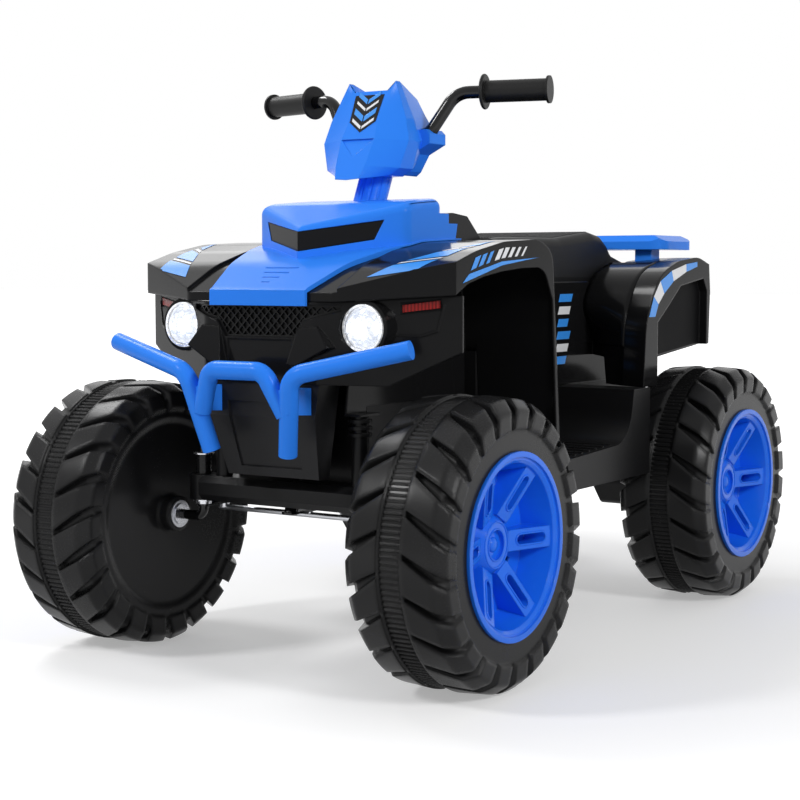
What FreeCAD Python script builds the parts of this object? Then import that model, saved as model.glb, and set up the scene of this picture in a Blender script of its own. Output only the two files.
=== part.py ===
import FreeCAD, Part
import math
import os

Vec = FreeCAD.Vector

# Frame: +Z up, the front of the vehicle towards -Y, the rider's left towards +X, the floor at z = 0
# and the origin midway between the axles. Lengths are millimetres, angles degrees.

# Shared wall, clearances and overrun
wall = 3.0
gap = 0.3
fit = 0.05
over = 5.0
round_share = 0.98

# Running gear
wheel_base = 675.0
wheel_radius = 165.0
wheel_mid_x = 245.0
axle_radius = 6.0
front_axle_y = -wheel_base / 2
rear_axle_y = wheel_base / 2
axle_z = wheel_radius

# Tyre: a hollow moulding with a closed inner disc and slanted lugs
tyre_width = 127.0
tyre_wall = 3.0
lug_count = 23
lug_relief = 3.5
lug_slant = 33.0
lug_root_share = 0.86
lug_tip_share = 0.58
lug_tip_round = 6.0
lug_foot_radius = 131.0
lug_shoulder_radius = 151.0
lug_edge_round = 7.0
lug_crown_drop = 2.5
groove_depth = 11.0
shoulder_drop = 4.0
shoulder_x = 50.0
sidewall_radius = 141.0
band_half = 13.0
band_depth = 4.5
ridge_width = 3.0
ridge_depth = 1.5
disc_inset = 4.0
disc_radius = 112.0
disc_flare = 8.0
hub_boss_radius = 22.0
hub_boss_reach = 9.0
bush_radius = 9.0
cup_floor_x = 12.0
cup_floor_radius = 90.0

# Rim: a dished cap with six slotted spokes
rim_lip_radius = 105.3
rim_lip = 4.0
rim_seat_radius = 103.0
rim_step = 3.0
rim_ring = 6.5
rim_floor_x = 18.0
rim_floor_radius = 84.0
rim_hub_x = 36.0
rim_hub_radius = 27.0
rim_hub_foot = 40.0
rim_cap_radius = 17.0
rim_cap_depth = 5.0
spoke_count = 6
spoke_half = 12.0
spoke_turn = 30.0
spoke_foot_radius = 31.0
spoke_tip_radius = 93.0
spoke_foot_x = 34.0
spoke_tip_x = 55.0
slot_half = 5.5
slot_start = 43.0
slot_end = 84.0
slot_floor_x = 25.0
window_half = 8.0
window_start = 45.0
window_end = 60.0

# Bushes, washers and nuts on the axles
bush_flange_radius = 17.0
bush_flange = 2.2
washer_radius = 13.0
washer = 2.0
nut_radius = 10.5
nut_height = 8.0
axle_tail = 4.0

# Drive at the rear wheels
dog_radius = 37.0
dog_tooth_count = 8
dog_tooth = 6.0
gearbox_inner_x = 98.0
gearbox_outer_x = 155.0
motor_radius = 22.0
motor_length = 60.0
motor_y = 288.0
motor_z = 212.0
motor_boss_radius = 9.0
motor_boss = 5.0
bracket_width = 12.0
bracket_half = 19.5

# Front axle and steering
kingpin_x = 133.0
kingpin_top_z = 250.0
kingpin_bend = 12.0
sleeve_radius = 9.5
sleeve_top_z = 242.0
beam_low_z = 187.0
beam_high_z = 218.0
beam_half_depth = 21.2
beam_half_width = 124.0
beam_chamfer = 8.0
beam_eye_radius = 17.0
arm_length = 40.0
arm_width = 16.0
arm_low_z = 178.0
arm_high_z = 181.0
arm_slot_half = 4.5
arm_slot_run = 7.5
crank_width = 20.0
crank_slot_half = 5.0
tie_rod_radius = 3.5
tie_pin_radius = 3.0
tie_collar_radius = 6.5
tie_rod_z = 172.0
tie_pin_top_z = 184.5
post_radius = 10.0
post_ring = 4.0
post_ring_count = 3
post_top_z = 300.0
post_x = 100.0

# Steering column: one inclined rod through the beam and the deck
caster = 24.5
column_radius = 8.0
column_mark_y = -160.0
column_mark_z = 570.0
column_bush_radius = 14.0
column_bush_half = 14.0
column_bush_z = 498.0
column_sleeve_radius = 20.5
sleeve_low_z = 538.0
sleeve_high_z = 592.0
column_flute = 2.2
column_flute_count = 12

# Handlebar, grips and cover
bar_radius = 8.0
bar_clamp_z = 637.0
bar_rise_x = 64.0
bar_top_x = 94.0
bar_top_y = -113.0
bar_top_z = 689.0
bar_end_x = 209.0
bar_end_y = -86.0
bar_low_bend = 18.0
bar_high_bend = 30.0
grip_start_x = 128.0
grip_radius = 13.7
grip_flange_radius = 22.0
grip_flange = 4.5
grip_end_radius = 17.0
grip_end = 3.0
cover_wall = 2.5
cover_front_y = -220.5
cover_front_lean_share = 0.5
cover_brow_y = -186.0
cover_brow_lean_share = 0.2
cover_seam_y = -152.0
cover_back_y = -98.0
cover_chin_z = 577.0
cover_half = 64.0
cover_height = 126.0
cover_front_shares = ((0.0, 0.01), (0.27, 0.02), (0.34, 0.15), (0.39, 0.42), (0.34, 0.59), (0.4, 0.93),
                      (0.36, 0.9), (0.0, 0.9))
cover_seam_shares = ((0.0, 0.05), (0.62, 0.06), (0.85, 0.13), (1.0, 0.4), (0.88, 0.62), (0.545, 1.0),
                     (0.4, 0.91), (0.0, 0.91))
cover_back_shares = ((0.0, 0.14), (0.3, 0.15), (0.42, 0.22), (0.85, 0.5), (0.6, 0.7), (0.42, 0.86),
                     (0.3, 0.82), (0.0, 0.82))
cover_room_shares = ((0.0, 0.08), (0.6, 0.09), (0.9, 0.4), (0.42, 0.8), (0.0, 0.8))
cover_nose_room_shares = ((0.0, 0.06), (0.25, 0.07), (0.32, 0.42), (0.28, 0.8), (0.0, 0.8))
cover_vee_low_share = 0.24
cover_vee_high_share = 0.42
cover_vee_half_share = 0.38
cover_vee_depth = 2.6
pod_reach = 74.0
pod_height = 66.0
pod_shares = ((0.42, 0.15), (0.51, 0.23), (0.68, 0.55), (1.0, 0.73), (1.0, 0.92), (0.93, 1.0), (0.6, 1.0),
              (0.42, 0.7))
pod_front_y = -144.0
pod_back_y = -106.0

# Deck line that the front fenders and the hood follow
deck_front_y = -397.0
deck_length = 262.0
deck_front_z = 446.0
deck_rise = 59.0
deck_bend = 170.0
deck_crown_bend = 60.0
deck_line_shares = ((0.0, 0.0), (0.214, 0.475), (0.431, 0.746), (0.672, 0.932), (1.0, 1.0))

# Front body: fenders, brow and mudguards
fender_half = 225.0
brow_inner_x = 105.0
brow_sweep = 65.0
brow_depth = 14.0
brow_round = 18.0
channel_x = 108.0
channel_inner_x = 60.0
channel_drop = 4.0
guard_shoulder_y = -101.0
guard_shoulder_z = 490.0
guard_shoulder_round = 26.0
guard_low_y = -76.0
guard_thick = 9.0
arch_front_y = -333.0
arch_front_z = 439.0
arch_length = 233.0
arch_rise = 32.0
arch_bend = 25.0
arch_line_shares = ((0.0, 0.0), (0.12, 0.41), (0.27, 0.66), (0.446, 0.84), (0.657, 0.97), (0.837, 1.0),
                    (0.914, 0.84), (1.0, -0.25))
core_front_half = 95.0
core_rear_half = 112.0
seam_z = 309.0

# Hood: a tongue over the nose and a raised box with a pointed front
hood_skin = 6.0
hood_lap = 2.0
hood_clear = 1.0
tongue_half = 69.0
tongue_fold_z = 427.0
tongue_fold = 4.0
box_half = 110.0
box_point_y = -322.0
box_corner_y = -250.0
box_side_y = -177.0
box_back_y = -130.0
box_back_half = 70.0
box_point_z = 517.0
box_slope_y = -240.0
box_slope_z = 550.0
box_top_y = -152.0
box_top_z = 557.0
box_back_z = 545.0
box_side_round = 16.0
box_edge_round = 11.0
box_bend = 60.0
wing_thick = 8.0
wing_step_y = -157.0
wing_low_z = 525.0
wing_high_z = 537.0
wing_rake = 6.0
scoop_end_x = 86.0
scoop_tail_x = 76.0
scoop_height = 23.0
scoop_rise = 14.0
scoop_border = 4.0
scoop_depth = 3.0
scoop_plate = 2.4
groove_width = 2.6
groove_cut = 1.2
groove_count = 4
groove_pitch = 11.0
groove_half = 24.0
groove_start_y = -352.0

# Fascia with grille, headlights and side markers
fascia_front_y = -398.0
fascia_flat_half = 78.0
fascia_wall = 4.0
fascia_low_z = 338.0
fascia_cheek_x = 152.0
fascia_cheek_z = 336.5
fascia_blade_z = 375.0
fascia_ridge = 2.4
fascia_ridge_out = 1.2
fascia_ridge_shares = ((0.66, 0.579), (0.813, 0.559), (0.891, 0.62), (0.92, 0.91))
fascia_round = 24.0
grille_low_z = 391.0
grille_neck_z = 410.0
grille_end_z = 422.0
grille_high_z = 428.0
grille_low_half = 50.0
grille_neck_half = 62.0
grille_high_half = 105.0
grille_pitch = 11.0
grille_bar = 2.2
grille_plate = 3.0
grille_back = 1.5
grille_rim = 3.0
chin_block_x = 48.0
chin_block_width = 52.0
chin_block_low_z = 359.0
chin_block_high_z = 404.0
chin_block_out = 13.0
chin_block_shares = ((0.0, 0.05), (0.22, 0.0), (1.0, 0.47), (0.67, 1.0), (0.17, 0.96))
chin_recess = 2.0
chin_recess_half = 46.0
headlight_x = 130.0
headlight_z = 402.5
headlight_front_y = -378.0
headlight_radius = 27.0
headlight_collar = 4.5
headlight_depth = 36.0
headlight_barrel = 24.0
headlight_back_share = 0.7
headlight_flange = 2.5
lens_radius = 24.0
lens_dome = 6.0
lens_thick = 2.5
led_radius = 7.0
led_height = 6.0
marker_in_x = 166.0
marker_out_x = 203.0
marker_low_z = 420.0
marker_height = 8.5
marker_rise = 5.0
marker_proud = 1.0
marker_sunk = 1.5
marker_border = 2.0

# Front skid plate and bumper
skid_top_half = 82.0
skid_low_half = 66.0
skid_low_z = 226.0
skid_knee_z = 298.0
skid_front_y = -394.0
skid_low_y = -372.0
skid_back_y = -352.0
skid_recess = 5.0
skid_frame = 11.0
bumper_radius = 10.8
bumper_foot_x = 55.0
bumper_foot_y = -417.0
bumper_foot_z = 258.0
bumper_bend_x = 74.0
bumper_bend_y = -439.0
bumper_bend_z = 350.0
bumper_end_x = 211.0
bumper_end_y = -402.5
bumper_end_z = 381.0
bumper_bend = 24.0
hoop_low_x = 60.0
hoop_low_z = 305.0
hoop_high_x = 38.0
hoop_high_z = 354.0
hoop_bend = 17.0
bumper_bracket_low_z = 303.0
bumper_bracket_high_z = 334.0
bumper_bracket_half = 7.0

# Chassis tub and footboards
tub_low_z = 190.0
tub_neck_y = -110.0
tub_flare_y = -85.0
tub_step_y = 250.0
tub_ramp = 20.0
tub_high_z = 245.0
tub_back_y = 392.0
foot_half = 236.0
foot_front_y = -64.0
foot_toe = 18.0
foot_toe_z = 232.0
foot_heel_y = 100.0
foot_heel_z = 240.0
foot_riser = 14.0
foot_back_y = 165.0
foot_low_z = 192.0
foot_round = 52.0
tread_rib_count = 7
tread_rib_pitch = 20.0
tread_rib_half = 2.5
tread_rib_height = 1.6
tread_rib_start_y = 0.0

# Rear body: seat base, side panels and rear fenders
core_front_y = -92.0
core_back_y = 392.0
base_z = 452.0
rear_fender_half = 228.0
rear_front_y = 160.0
rear_knee_y = 168.0
rear_knee_z = 400.0
rear_top_y = 344.0
rear_top_z = 487.0
rear_bend = 85.0
rear_top_shares = ((0.21, 0.645), (0.41, 0.816), (0.625, 0.931), (1.0, 1.0))
rear_corner_y = 383.0
rear_corner_z = 477.0
rear_tail_y = 390.0
rear_tail_z = 437.0
rear_panel_low_y = 386.0
rear_panel_low_z = 361.0
rear_panel_front_y = 215.0
rear_panel_front_z = 346.0
rear_sweep = 75.0
rear_over_share = 1.1
rear_crease_x = 190.0
rear_crease_sweep = 14.0
rear_recess = 12.0
rear_arch_front_y = 206.0
rear_arch_knee_z = 396.0
rear_arch_length = 172.0
rear_arch_rise = 60.0
rear_arch_shares = ((0.25, 0.45), (0.45, 0.83), (0.92, 1.0), (1.0, 0.7))

# Seat, dash and rear rack
seat_half = 107.0
seat_top_half = 98.0
seat_front_y = -22.0
seat_top_shares = ((0.0, 0.81), (0.08, 0.84), (0.45, 0.86), (0.7, 1.0), (0.775, 0.93), (0.82, 0.75),
                   (0.845, 0.55), (0.95, 0.4), (1.0, 0.34))
seat_length = 407.0
seat_height = 71.0
seat_round = 16.0
seat_edge_round = 14.0
seat_lip = 6.0
seat_wall = 4.0
dash_half = 78.0
dash_front_y = -129.0
dash_low_z = 501.0
dash_front_z = 533.0
dash_top_y = -100.0
dash_top_z = 541.0
dash_knee_y = -58.0
dash_knee_z = 537.0
dash_foot_z = 508.0
dash_round = 12.0
rack_half = 182.0
rack_front_y = 323.0
rack_back_y = 437.0
rack_low_z = 498.0
rack_high_z = 519.0
rack_chamfer = 9.0
rack_corner = 22.0
rack_dip_half = 52.0
rack_dip_slope = 18.0
rack_dip = 8.0
rack_slot_count = 5
rack_slot_half = 4.5
rack_slot_pitch = 24.0
rack_slot_run = 66.0
rack_slot_cut = 4.0
post_inner_x = 132.0
post_outer_x = 158.0
rack_post_front_y = 336.0
rack_post_back_y = 364.0
rear_cover_half = 150.0
rear_cover_low_z = 330.0
rear_cover_high_z = 440.0
rear_cover_thick = 6.0
rear_cover_chamfer = 30.0
rear_cover_frame = 16.0
rear_cover_rib_count = 4
rear_cover_rib_half = 3.0

# Inside: battery, strap and controller
battery_length = 151.0
battery_width = 65.0
battery_height = 94.0
battery_front_y = -60.0
terminal_radius = 5.0
terminal_height = 6.0
terminal_pitch = 44.0
strap_width = 24.0
strap_thick = 2.0
control_length = 90.0
control_width = 70.0
control_height = 32.0
control_front_y = 120.0
control_flange = 12.0
control_flange_thick = 3.0

# Controls
pedal_mid_x = 176.0
pedal_half = 32.0
pedal_hinge_y = 38.0
pedal_hinge_z = 247.5
pedal_length = 84.0
pedal_thick = 6.0
pedal_tilt = 13.0
pedal_pin_radius = 3.0
pedal_ear = 5.0
pedal_ear_half = 7.0
pedal_rib_count = 5
pedal_rib = 1.6
button_radius = 9.0
button_height = 9.0
button_proud = 5.0
rocker_half = 7.0
rocker_run = 11.0
rocker_x = 38.0
rocker_pin_radius = 1.6
rocker_pin_reach = 2.0
rocker_depth = 9.0
rocker_proud = 3.0
rocker_clear = 1.5
bezel_wide = 3.0
bezel_proud = 1.5
socket_radius = 11.0
socket_bore = 4.0
socket_flange = 2.5
socket_flange_radius = 15.0
socket_depth = 18.0
socket_y = 60.0
socket_z = 400.0

# Rack screws
screw_radius = 2.0
screw_head_radius = 4.5
screw_head = 2.5
screw_length = 20.0


def spot(plane, level, u, v):
    """Point (u, v) of a side (y, z), front (x, z) or plan (x, y) outline, level being the third place."""
    if plane == "side":
        return Vec(level, u, v)
    if plane == "front":
        return Vec(u, level, v)
    return Vec(u, v, level)


def square_to(plane):
    """Direction square to an outline's plane."""
    return {"side": Vec(1, 0, 0), "front": Vec(0, 1, 0), "plan": Vec(0, 0, 1)}[plane]


def path_edges(spots, radii, closed):
    """Straight runs through the spots, each corner rounded by its radius."""
    count = len(spots)
    arrive, leave, edges = [], [], []
    for i, here in enumerate(spots):
        inner = closed or 0 < i < count - 1
        if not inner or radii[i] == 0:
            arrive.append(here)
            leave.append(here)
            continue
        back = (spots[i - 1] - here).normalize()
        ahead = (spots[(i + 1) % count] - here).normalize()
        half = back.getAngle(ahead) / 2
        run = radii[i] / math.tan(half)
        bulge = radii[i] / math.sin(half) - radii[i]
        arrive.append(here + back * run)
        leave.append(here + ahead * run)
        middle = here + (back + ahead).normalize() * bulge
        edges.append((i, Part.Arc(arrive[i], middle, leave[i]).toShape()))
    for i in range(count if closed else count - 1):
        edges.append((i + 0.5, Part.LineSegment(leave[i], arrive[(i + 1) % count]).toShape()))
    return [edge for place, edge in sorted(edges, key=lambda item: item[0])]


def outline(plane, level, corners):
    """Closed wire through (u, v) corners; a third value rounds a corner."""
    spots = [spot(plane, level, corner[0], corner[1]) for corner in corners]
    radii = [corner[2] if len(corner) > 2 else 0 for corner in corners]
    return Part.Wire(path_edges(spots, radii, True))


def prism(plane, corners, start, stop):
    """Solid between two levels of an outline's plane."""
    return Part.Face(outline(plane, start, corners)).extrude(square_to(plane) * (stop - start))


def spin(corners):
    """Solid of revolution about the X axis of an (x, radius) outline."""
    return Part.Face(outline("plan", 0, corners)).revolve(Vec(), Vec(1, 0, 0), 360)


def rod(start, stop, radius):
    """Round bar between two points."""
    return Part.makeCylinder(radius, (stop - start).Length, start, stop - start)


def tube(spots, radii, radius):
    """Round bar along straight runs with bends."""
    path = Part.Wire(path_edges(spots, radii, False))
    section = Part.Wire(Part.makeCircle(radius, spots[0], spots[1] - spots[0]))
    return path.makePipeShell([section], True, False)


def mirrored(shape):
    """The same piece on the other side of the vehicle."""
    return shape.mirror(Vec(), Vec(1, 0, 0))


def joined(first, *others):
    """One solid from touching pieces."""
    return first.multiFuse(list(others)).removeSplitter()


def both_sides(shape):
    """A piece joined to its mirror image."""
    return joined(shape, mirrored(shape))


def softened(shape, radius, chosen):
    """Piece with the chosen edges rounded."""
    return shape.makeFillet(radius, [edge for edge in shape.Edges if chosen(edge)])


def half_outline(corners):
    """Corners of the +X half followed by their mirror images."""
    return corners + [(-corner[0],) + tuple(corner[1:]) for corner in reversed(corners) if corner[0] != 0]


def turned(shape, angle):
    """Piece turned about the X axis through the origin."""
    copy = shape.copy()
    copy.rotate(Vec(), Vec(1, 0, 0), angle)
    return copy


def shifted(shape, x, y, z):
    """Piece moved to a new place."""
    copy = shape.copy()
    copy.translate(Vec(x, y, z))
    return copy


# Lines that several pieces follow

def bent(points, radius):
    """A line with its inner corners rounded."""
    return points[:1] + [(u, v, radius) for u, v in points[1:-1]] + points[-1:]


def deck_line(drop):
    """Side view of the deck over the front wheels, lowered by drop."""
    return bent([(deck_front_y + along * deck_length, deck_front_z + up * deck_rise - drop)
                 for along, up in deck_line_shares], deck_bend)


def arch_line():
    """Lower edge of the front fender's outer face."""
    return bent([(arch_front_y + along * arch_length, arch_front_z + up * arch_rise)
                 for along, up in arch_line_shares], arch_bend)


def fascia_face_y(x, inset):
    """Front face of the swept nose at a distance from the middle."""
    slope = brow_sweep / (fender_half - brow_inner_x)
    return fascia_front_y + inset + max(0, x - fascia_flat_half) * slope


def column_spot(z):
    """Point of the steering axis at a height."""
    return Vec(0, column_mark_y + (z - column_mark_z) * math.tan(math.radians(caster)), z)


column_axis = Vec(0, math.sin(math.radians(caster)), math.cos(math.radians(caster)))
tyre_half = tyre_width / 2
sidewall_x = tyre_half - lug_relief
ridge_x = band_half + ridge_width
disc_x = sidewall_x - disc_inset
boss_x = tyre_half + hub_boss_reach


# Wheels, built about the X axis with the outer side towards +X

def tyre():
    groove_radius = wheel_radius - groove_depth
    tread = [(ridge_x, groove_radius), (ridge_x, wheel_radius - ridge_depth),
             (band_half, wheel_radius - ridge_depth), (band_half, wheel_radius - band_depth)]
    shoulder = [(sidewall_x, sidewall_radius), (shoulder_x, groove_radius - shoulder_drop)]
    outer = shoulder + tread
    inner = [(-x, radius) for x, radius in reversed(outer)]
    skin = spin([(sidewall_x, rim_seat_radius + gap)] + outer + inner
                + [(-sidewall_x, disc_radius + disc_flare), (-disc_x, disc_radius),
                   (-disc_x, hub_boss_radius), (-boss_x, hub_boss_radius), (-boss_x, bush_radius + fit),
                   (cup_floor_x, bush_radius + fit), (cup_floor_x, cup_floor_radius)])
    crown_radius = groove_radius - shoulder_drop - tyre_wall
    hollow = spin([(sidewall_x - tyre_wall, rim_seat_radius + tyre_wall),
                   (sidewall_x - tyre_wall, sidewall_radius - tyre_wall),
                   (shoulder_x - tyre_wall, crown_radius),
                   (tyre_wall - shoulder_x, crown_radius),
                   (tyre_wall - sidewall_x, sidewall_radius - tyre_wall),
                   (tyre_wall - sidewall_x, disc_radius + disc_flare), (tyre_wall - disc_x, disc_radius),
                   (tyre_wall - disc_x, bush_radius + tyre_wall),
                   (cup_floor_x - tyre_wall, bush_radius + tyre_wall),
                   (cup_floor_x - tyre_wall, cup_floor_radius + tyre_wall)])
    return skin.cut(hollow).multiFuse(tread_lugs())


def tread_lugs():
    """Slanted lugs of both halves, pointing away from the middle band."""
    groove_radius = wheel_radius - groove_depth
    ring_shape = spin([(ridge_x, groove_radius - tyre_wall / 2), (ridge_x, wheel_radius),
                       (shoulder_x, wheel_radius - lug_crown_drop, lug_edge_round),
                       (tyre_half, lug_shoulder_radius, lug_edge_round), (tyre_half, lug_foot_radius),
                       (sidewall_x - tyre_wall / 2, lug_foot_radius - lug_relief),
                       (sidewall_x - tyre_wall / 2, sidewall_radius - tyre_wall / 2),
                       (shoulder_x, groove_radius - shoulder_drop - tyre_wall / 2)])
    pitch = 2 * math.pi * wheel_radius / lug_count
    root, tip = pitch * lug_root_share / 2, pitch * lug_tip_share / 2
    bar = prism("plan", [(ridge_x - over, -root), (tyre_half + over, -lug_slant - tip, lug_tip_round),
                         (tyre_half + over, tip - lug_slant, lug_tip_round), (ridge_x - over, root)],
                lug_foot_radius - 2 * over, wheel_radius + over)
    lug = ring_shape.common(bar)
    step = 360 / lug_count
    outer_lugs = [turned(lug, step * i) for i in range(lug_count)]
    return outer_lugs + [mirrored(turned(outer, step / 2)) for outer in outer_lugs]


def rim():
    lip_x = sidewall_x + rim_lip
    taper = (rim_seat_radius - cup_floor_radius) / (sidewall_x - cup_floor_x)
    floor_back_radius = rim_seat_radius - (sidewall_x - rim_floor_x) * taper - gap
    ring_radius = rim_lip_radius - rim_ring
    dish = spin([(sidewall_x, rim_seat_radius), (sidewall_x, rim_lip_radius), (lip_x, rim_lip_radius),
                 (lip_x, ring_radius), (lip_x - rim_step, ring_radius - gap),
                 (lip_x - rim_step, ring_radius - rim_step), (lip_x - 2 * rim_step, ring_radius - rim_ring),
                 (rim_floor_x + wall, rim_floor_radius), (rim_floor_x + wall, rim_hub_foot),
                 (rim_hub_x, rim_hub_radius), (rim_hub_x, rim_cap_radius),
                 (rim_hub_x - rim_cap_depth, rim_cap_radius), (rim_hub_x - rim_cap_depth, 0),
                 (rim_hub_x - rim_cap_depth - wall, 0),
                 (rim_hub_x - rim_cap_depth - wall, rim_hub_radius - wall),
                 (rim_floor_x, rim_hub_foot - wall), (rim_floor_x, floor_back_radius)])
    spoke = prism("front", [(rim_floor_x + wall / 2, spoke_foot_radius), (spoke_foot_x, spoke_foot_radius),
                            (spoke_tip_x, spoke_tip_radius), (rim_floor_x + wall / 2, rim_floor_radius)],
                  -spoke_half, spoke_half)
    slot_round = slot_half * round_share
    slot = prism("side", [(-slot_half, slot_start, slot_round), (slot_half, slot_start, slot_round),
                          (slot_half, slot_end, slot_round), (-slot_half, slot_end, slot_round)],
                 slot_floor_x, lip_x)
    window = prism("side", [(-window_half, window_start), (window_half, window_start),
                            (window_half, window_end), (-window_half, window_end)],
                   rim_floor_x - over, rim_floor_x + wall + over)
    step = 360 / spoke_count
    spokes = [turned(spoke, step * i) for i in range(spoke_count)]
    cuts = [turned(slot, step * i) for i in range(spoke_count)]
    cuts += [turned(window, step * (i + 0.5)) for i in range(spoke_count)]
    return turned(joined(dish, *spokes).cut(cuts), spoke_turn)


def wheel_bush():
    """Flanged bush in the hub of a front wheel."""
    flange_x = -boss_x - bush_flange
    return spin([(flange_x, axle_radius + fit), (flange_x, bush_flange_radius),
                 (-boss_x, bush_flange_radius),
                 (-boss_x, bush_radius), (cup_floor_x, bush_radius), (cup_floor_x, axle_radius + fit)])


def drive_dog():
    """Toothed driver between a gearbox and its wheel, with the hub's sleeve."""
    face_x = gearbox_outer_x - wheel_mid_x + gap
    core = spin([(face_x, axle_radius + fit), (face_x, dog_radius), (-boss_x, dog_radius),
                 (-boss_x, bush_radius), (cup_floor_x, bush_radius), (cup_floor_x, axle_radius + fit)])
    notch = prism("side", [(-dog_tooth, dog_radius - dog_tooth), (dog_tooth, dog_radius - dog_tooth),
                           (dog_tooth, dog_radius + over), (-dog_tooth, dog_radius + over)],
                  face_x + wall, over - boss_x)
    return core.cut([turned(notch, 360 / dog_tooth_count * i) for i in range(dog_tooth_count)])


def on_wheel(shape, side, axle_y):
    """A wheel piece at its axle; the right side has the left piece turned half round."""
    copy = shape.copy()
    if side < 0:
        copy.rotate(Vec(), Vec(0, 0, 1), 180)
    return shifted(copy, side * wheel_mid_x, axle_y, axle_z)


axle_end_x = wheel_mid_x + cup_floor_x + washer + nut_height + axle_tail


def ring(start, stop, radius, bore):
    """Washer, spacer or bush between two points."""
    return rod(start, stop, radius).cut(rod(start, stop, bore))


def nut(start, stop, radius, bore):
    """Six-sided nut on an axle along X."""
    corners = [(start.y + radius * math.cos(math.radians(60 * i)),
                start.z + radius * math.sin(math.radians(60 * i))) for i in range(6)]
    return prism("side", corners, start.x, stop.x).cut(rod(start, stop, bore))


def axle_nut(y):
    """Outer washer and nut that hold a wheel on its axle."""
    places = [wheel_mid_x + cup_floor_x + gap]
    places += [places[0] + washer, places[0] + washer + nut_height]
    spots = [Vec(x, y, axle_z) for x in places]
    return [ring(spots[0], spots[1], washer_radius, axle_radius + fit),
            nut(spots[1], spots[2], nut_radius, axle_radius + fit)]


# Front axle

tie_y = front_axle_y + arm_length
tub_front_y = front_axle_y + beam_half_depth + gap


def lever(x, width, slot_half, pivot_y):
    """Flat steering lever from a pivot back to a slotted eye over the tie rod."""
    end_y = tie_y + arm_slot_run + 2 * wall
    bend = width / 2 * round_share
    plate = prism("plan", [(x - width / 2, pivot_y - width / 2, bend),
                           (x + width / 2, pivot_y - width / 2, bend),
                           (x + width / 2, end_y, bend), (x - width / 2, end_y, bend)], arm_low_z,
                           arm_high_z)
    slot = prism("plan", [(x - slot_half, tie_y - slot_half), (x + slot_half, tie_y - slot_half),
                          (x + slot_half, tie_y + arm_slot_run), (x - slot_half, tie_y + arm_slot_run)],
                 arm_low_z - over, arm_high_z + over)
    return plate.cut(slot)


def knuckle():
    """Bent bar, kingpin and stub axle in one, with its steering arm."""
    bar = tube([Vec(kingpin_x, front_axle_y, kingpin_top_z), Vec(kingpin_x, front_axle_y, axle_z),
                Vec(axle_end_x, front_axle_y, axle_z)], [0, kingpin_bend, 0], axle_radius)
    return joined(bar, lever(kingpin_x, arm_width, arm_slot_half, front_axle_y))


def knuckle_hardware():
    """Spacers, washers and nut on a knuckle."""
    bore = axle_radius + fit

    def pin(z):
        return Vec(kingpin_x, front_axle_y, z)
    flange_x = wheel_mid_x - boss_x - bush_flange - gap
    stub = [Vec(x, front_axle_y, axle_z) for x in (flange_x - washer, flange_x)]
    return Part.makeCompound([
        ring(pin(arm_high_z), pin(beam_low_z - washer - gap), sleeve_radius, bore),
        ring(pin(beam_low_z - washer - gap), pin(beam_low_z - gap), washer_radius, bore),
        ring(pin(beam_high_z + gap), pin(sleeve_top_z), sleeve_radius, bore),
        ring(pin(sleeve_top_z), pin(sleeve_top_z + washer), washer_radius, bore),
        ring(stub[0], stub[1], washer_radius, bore)] + axle_nut(front_axle_y))


def front_axle_beam():
    front_y, back_y = front_axle_y - beam_half_depth, front_axle_y + beam_half_depth
    bar = prism("side", [(front_y, beam_low_z + beam_chamfer), (front_y, beam_high_z - beam_chamfer),
                         (front_y + beam_chamfer, beam_high_z), (back_y, beam_high_z), (back_y, beam_low_z),
                         (front_y + beam_chamfer, beam_low_z)], -beam_half_width, beam_half_width)
    eye = rod(Vec(kingpin_x, front_axle_y, beam_low_z), Vec(kingpin_x, front_axle_y, beam_high_z),
              beam_eye_radius)
    post = rod(Vec(post_x, front_axle_y, beam_high_z), Vec(post_x, front_axle_y, post_top_z), post_radius)
    ribs = [rod(Vec(post_x, front_axle_y, post_top_z - post_ring * (2 * i + 2)),
                Vec(post_x, front_axle_y, post_top_z - post_ring * (2 * i + 1)), post_radius + post_ring)
            for i in range(post_ring_count)]
    half = joined(eye, post, *ribs)
    bore = rod(Vec(kingpin_x, front_axle_y, beam_low_z - over), Vec(kingpin_x, front_axle_y, post_top_z),
               axle_radius + fit)
    column = rod(column_spot(beam_low_z - 4 * over), column_spot(beam_high_z + 4 * over),
                 column_radius + fit)
    return joined(bar, half, mirrored(half)).cut([bore, mirrored(bore), column])


def tie_rod():
    reach = kingpin_x + tie_pin_radius + wall
    bar = rod(Vec(-reach, tie_y, tie_rod_z), Vec(reach, tie_y, tie_rod_z), tie_rod_radius)
    pins = [rod(Vec(x, tie_y, tie_rod_z), Vec(x, tie_y, tie_pin_top_z), tie_pin_radius)
            for x in (-kingpin_x, 0, kingpin_x)]
    collars = [rod(Vec(x, tie_y, tie_rod_z), Vec(x, tie_y, arm_low_z - gap), tie_collar_radius)
               for x in (-kingpin_x, kingpin_x)]
    return joined(bar, *pins, *collars)


# Steering column, handlebar and cover

clamp = column_spot(bar_clamp_z)
bar_spots = [Vec(bar_rise_x, clamp.y, bar_clamp_z), Vec(bar_top_x, bar_top_y, bar_top_z),
             Vec(bar_end_x, bar_end_y, bar_top_z)]


def handlebar_bar(radius):
    right = [Vec(-place.x, place.y, place.z) for place in reversed(bar_spots)]
    bends = [0, bar_high_bend, bar_low_bend]
    return tube(right + bar_spots, bends + bends[::-1], radius)


def steering_column():
    bar = rod(column_spot(arm_low_z), clamp, column_radius)
    cross = rod(Vec(-5 * over, clamp.y, clamp.z), Vec(5 * over, clamp.y, clamp.z), bar_radius + fit)
    crank = lever(0, crank_width, crank_slot_half, column_spot(arm_low_z).y)
    return joined(bar, crank).cut(cross)


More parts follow.
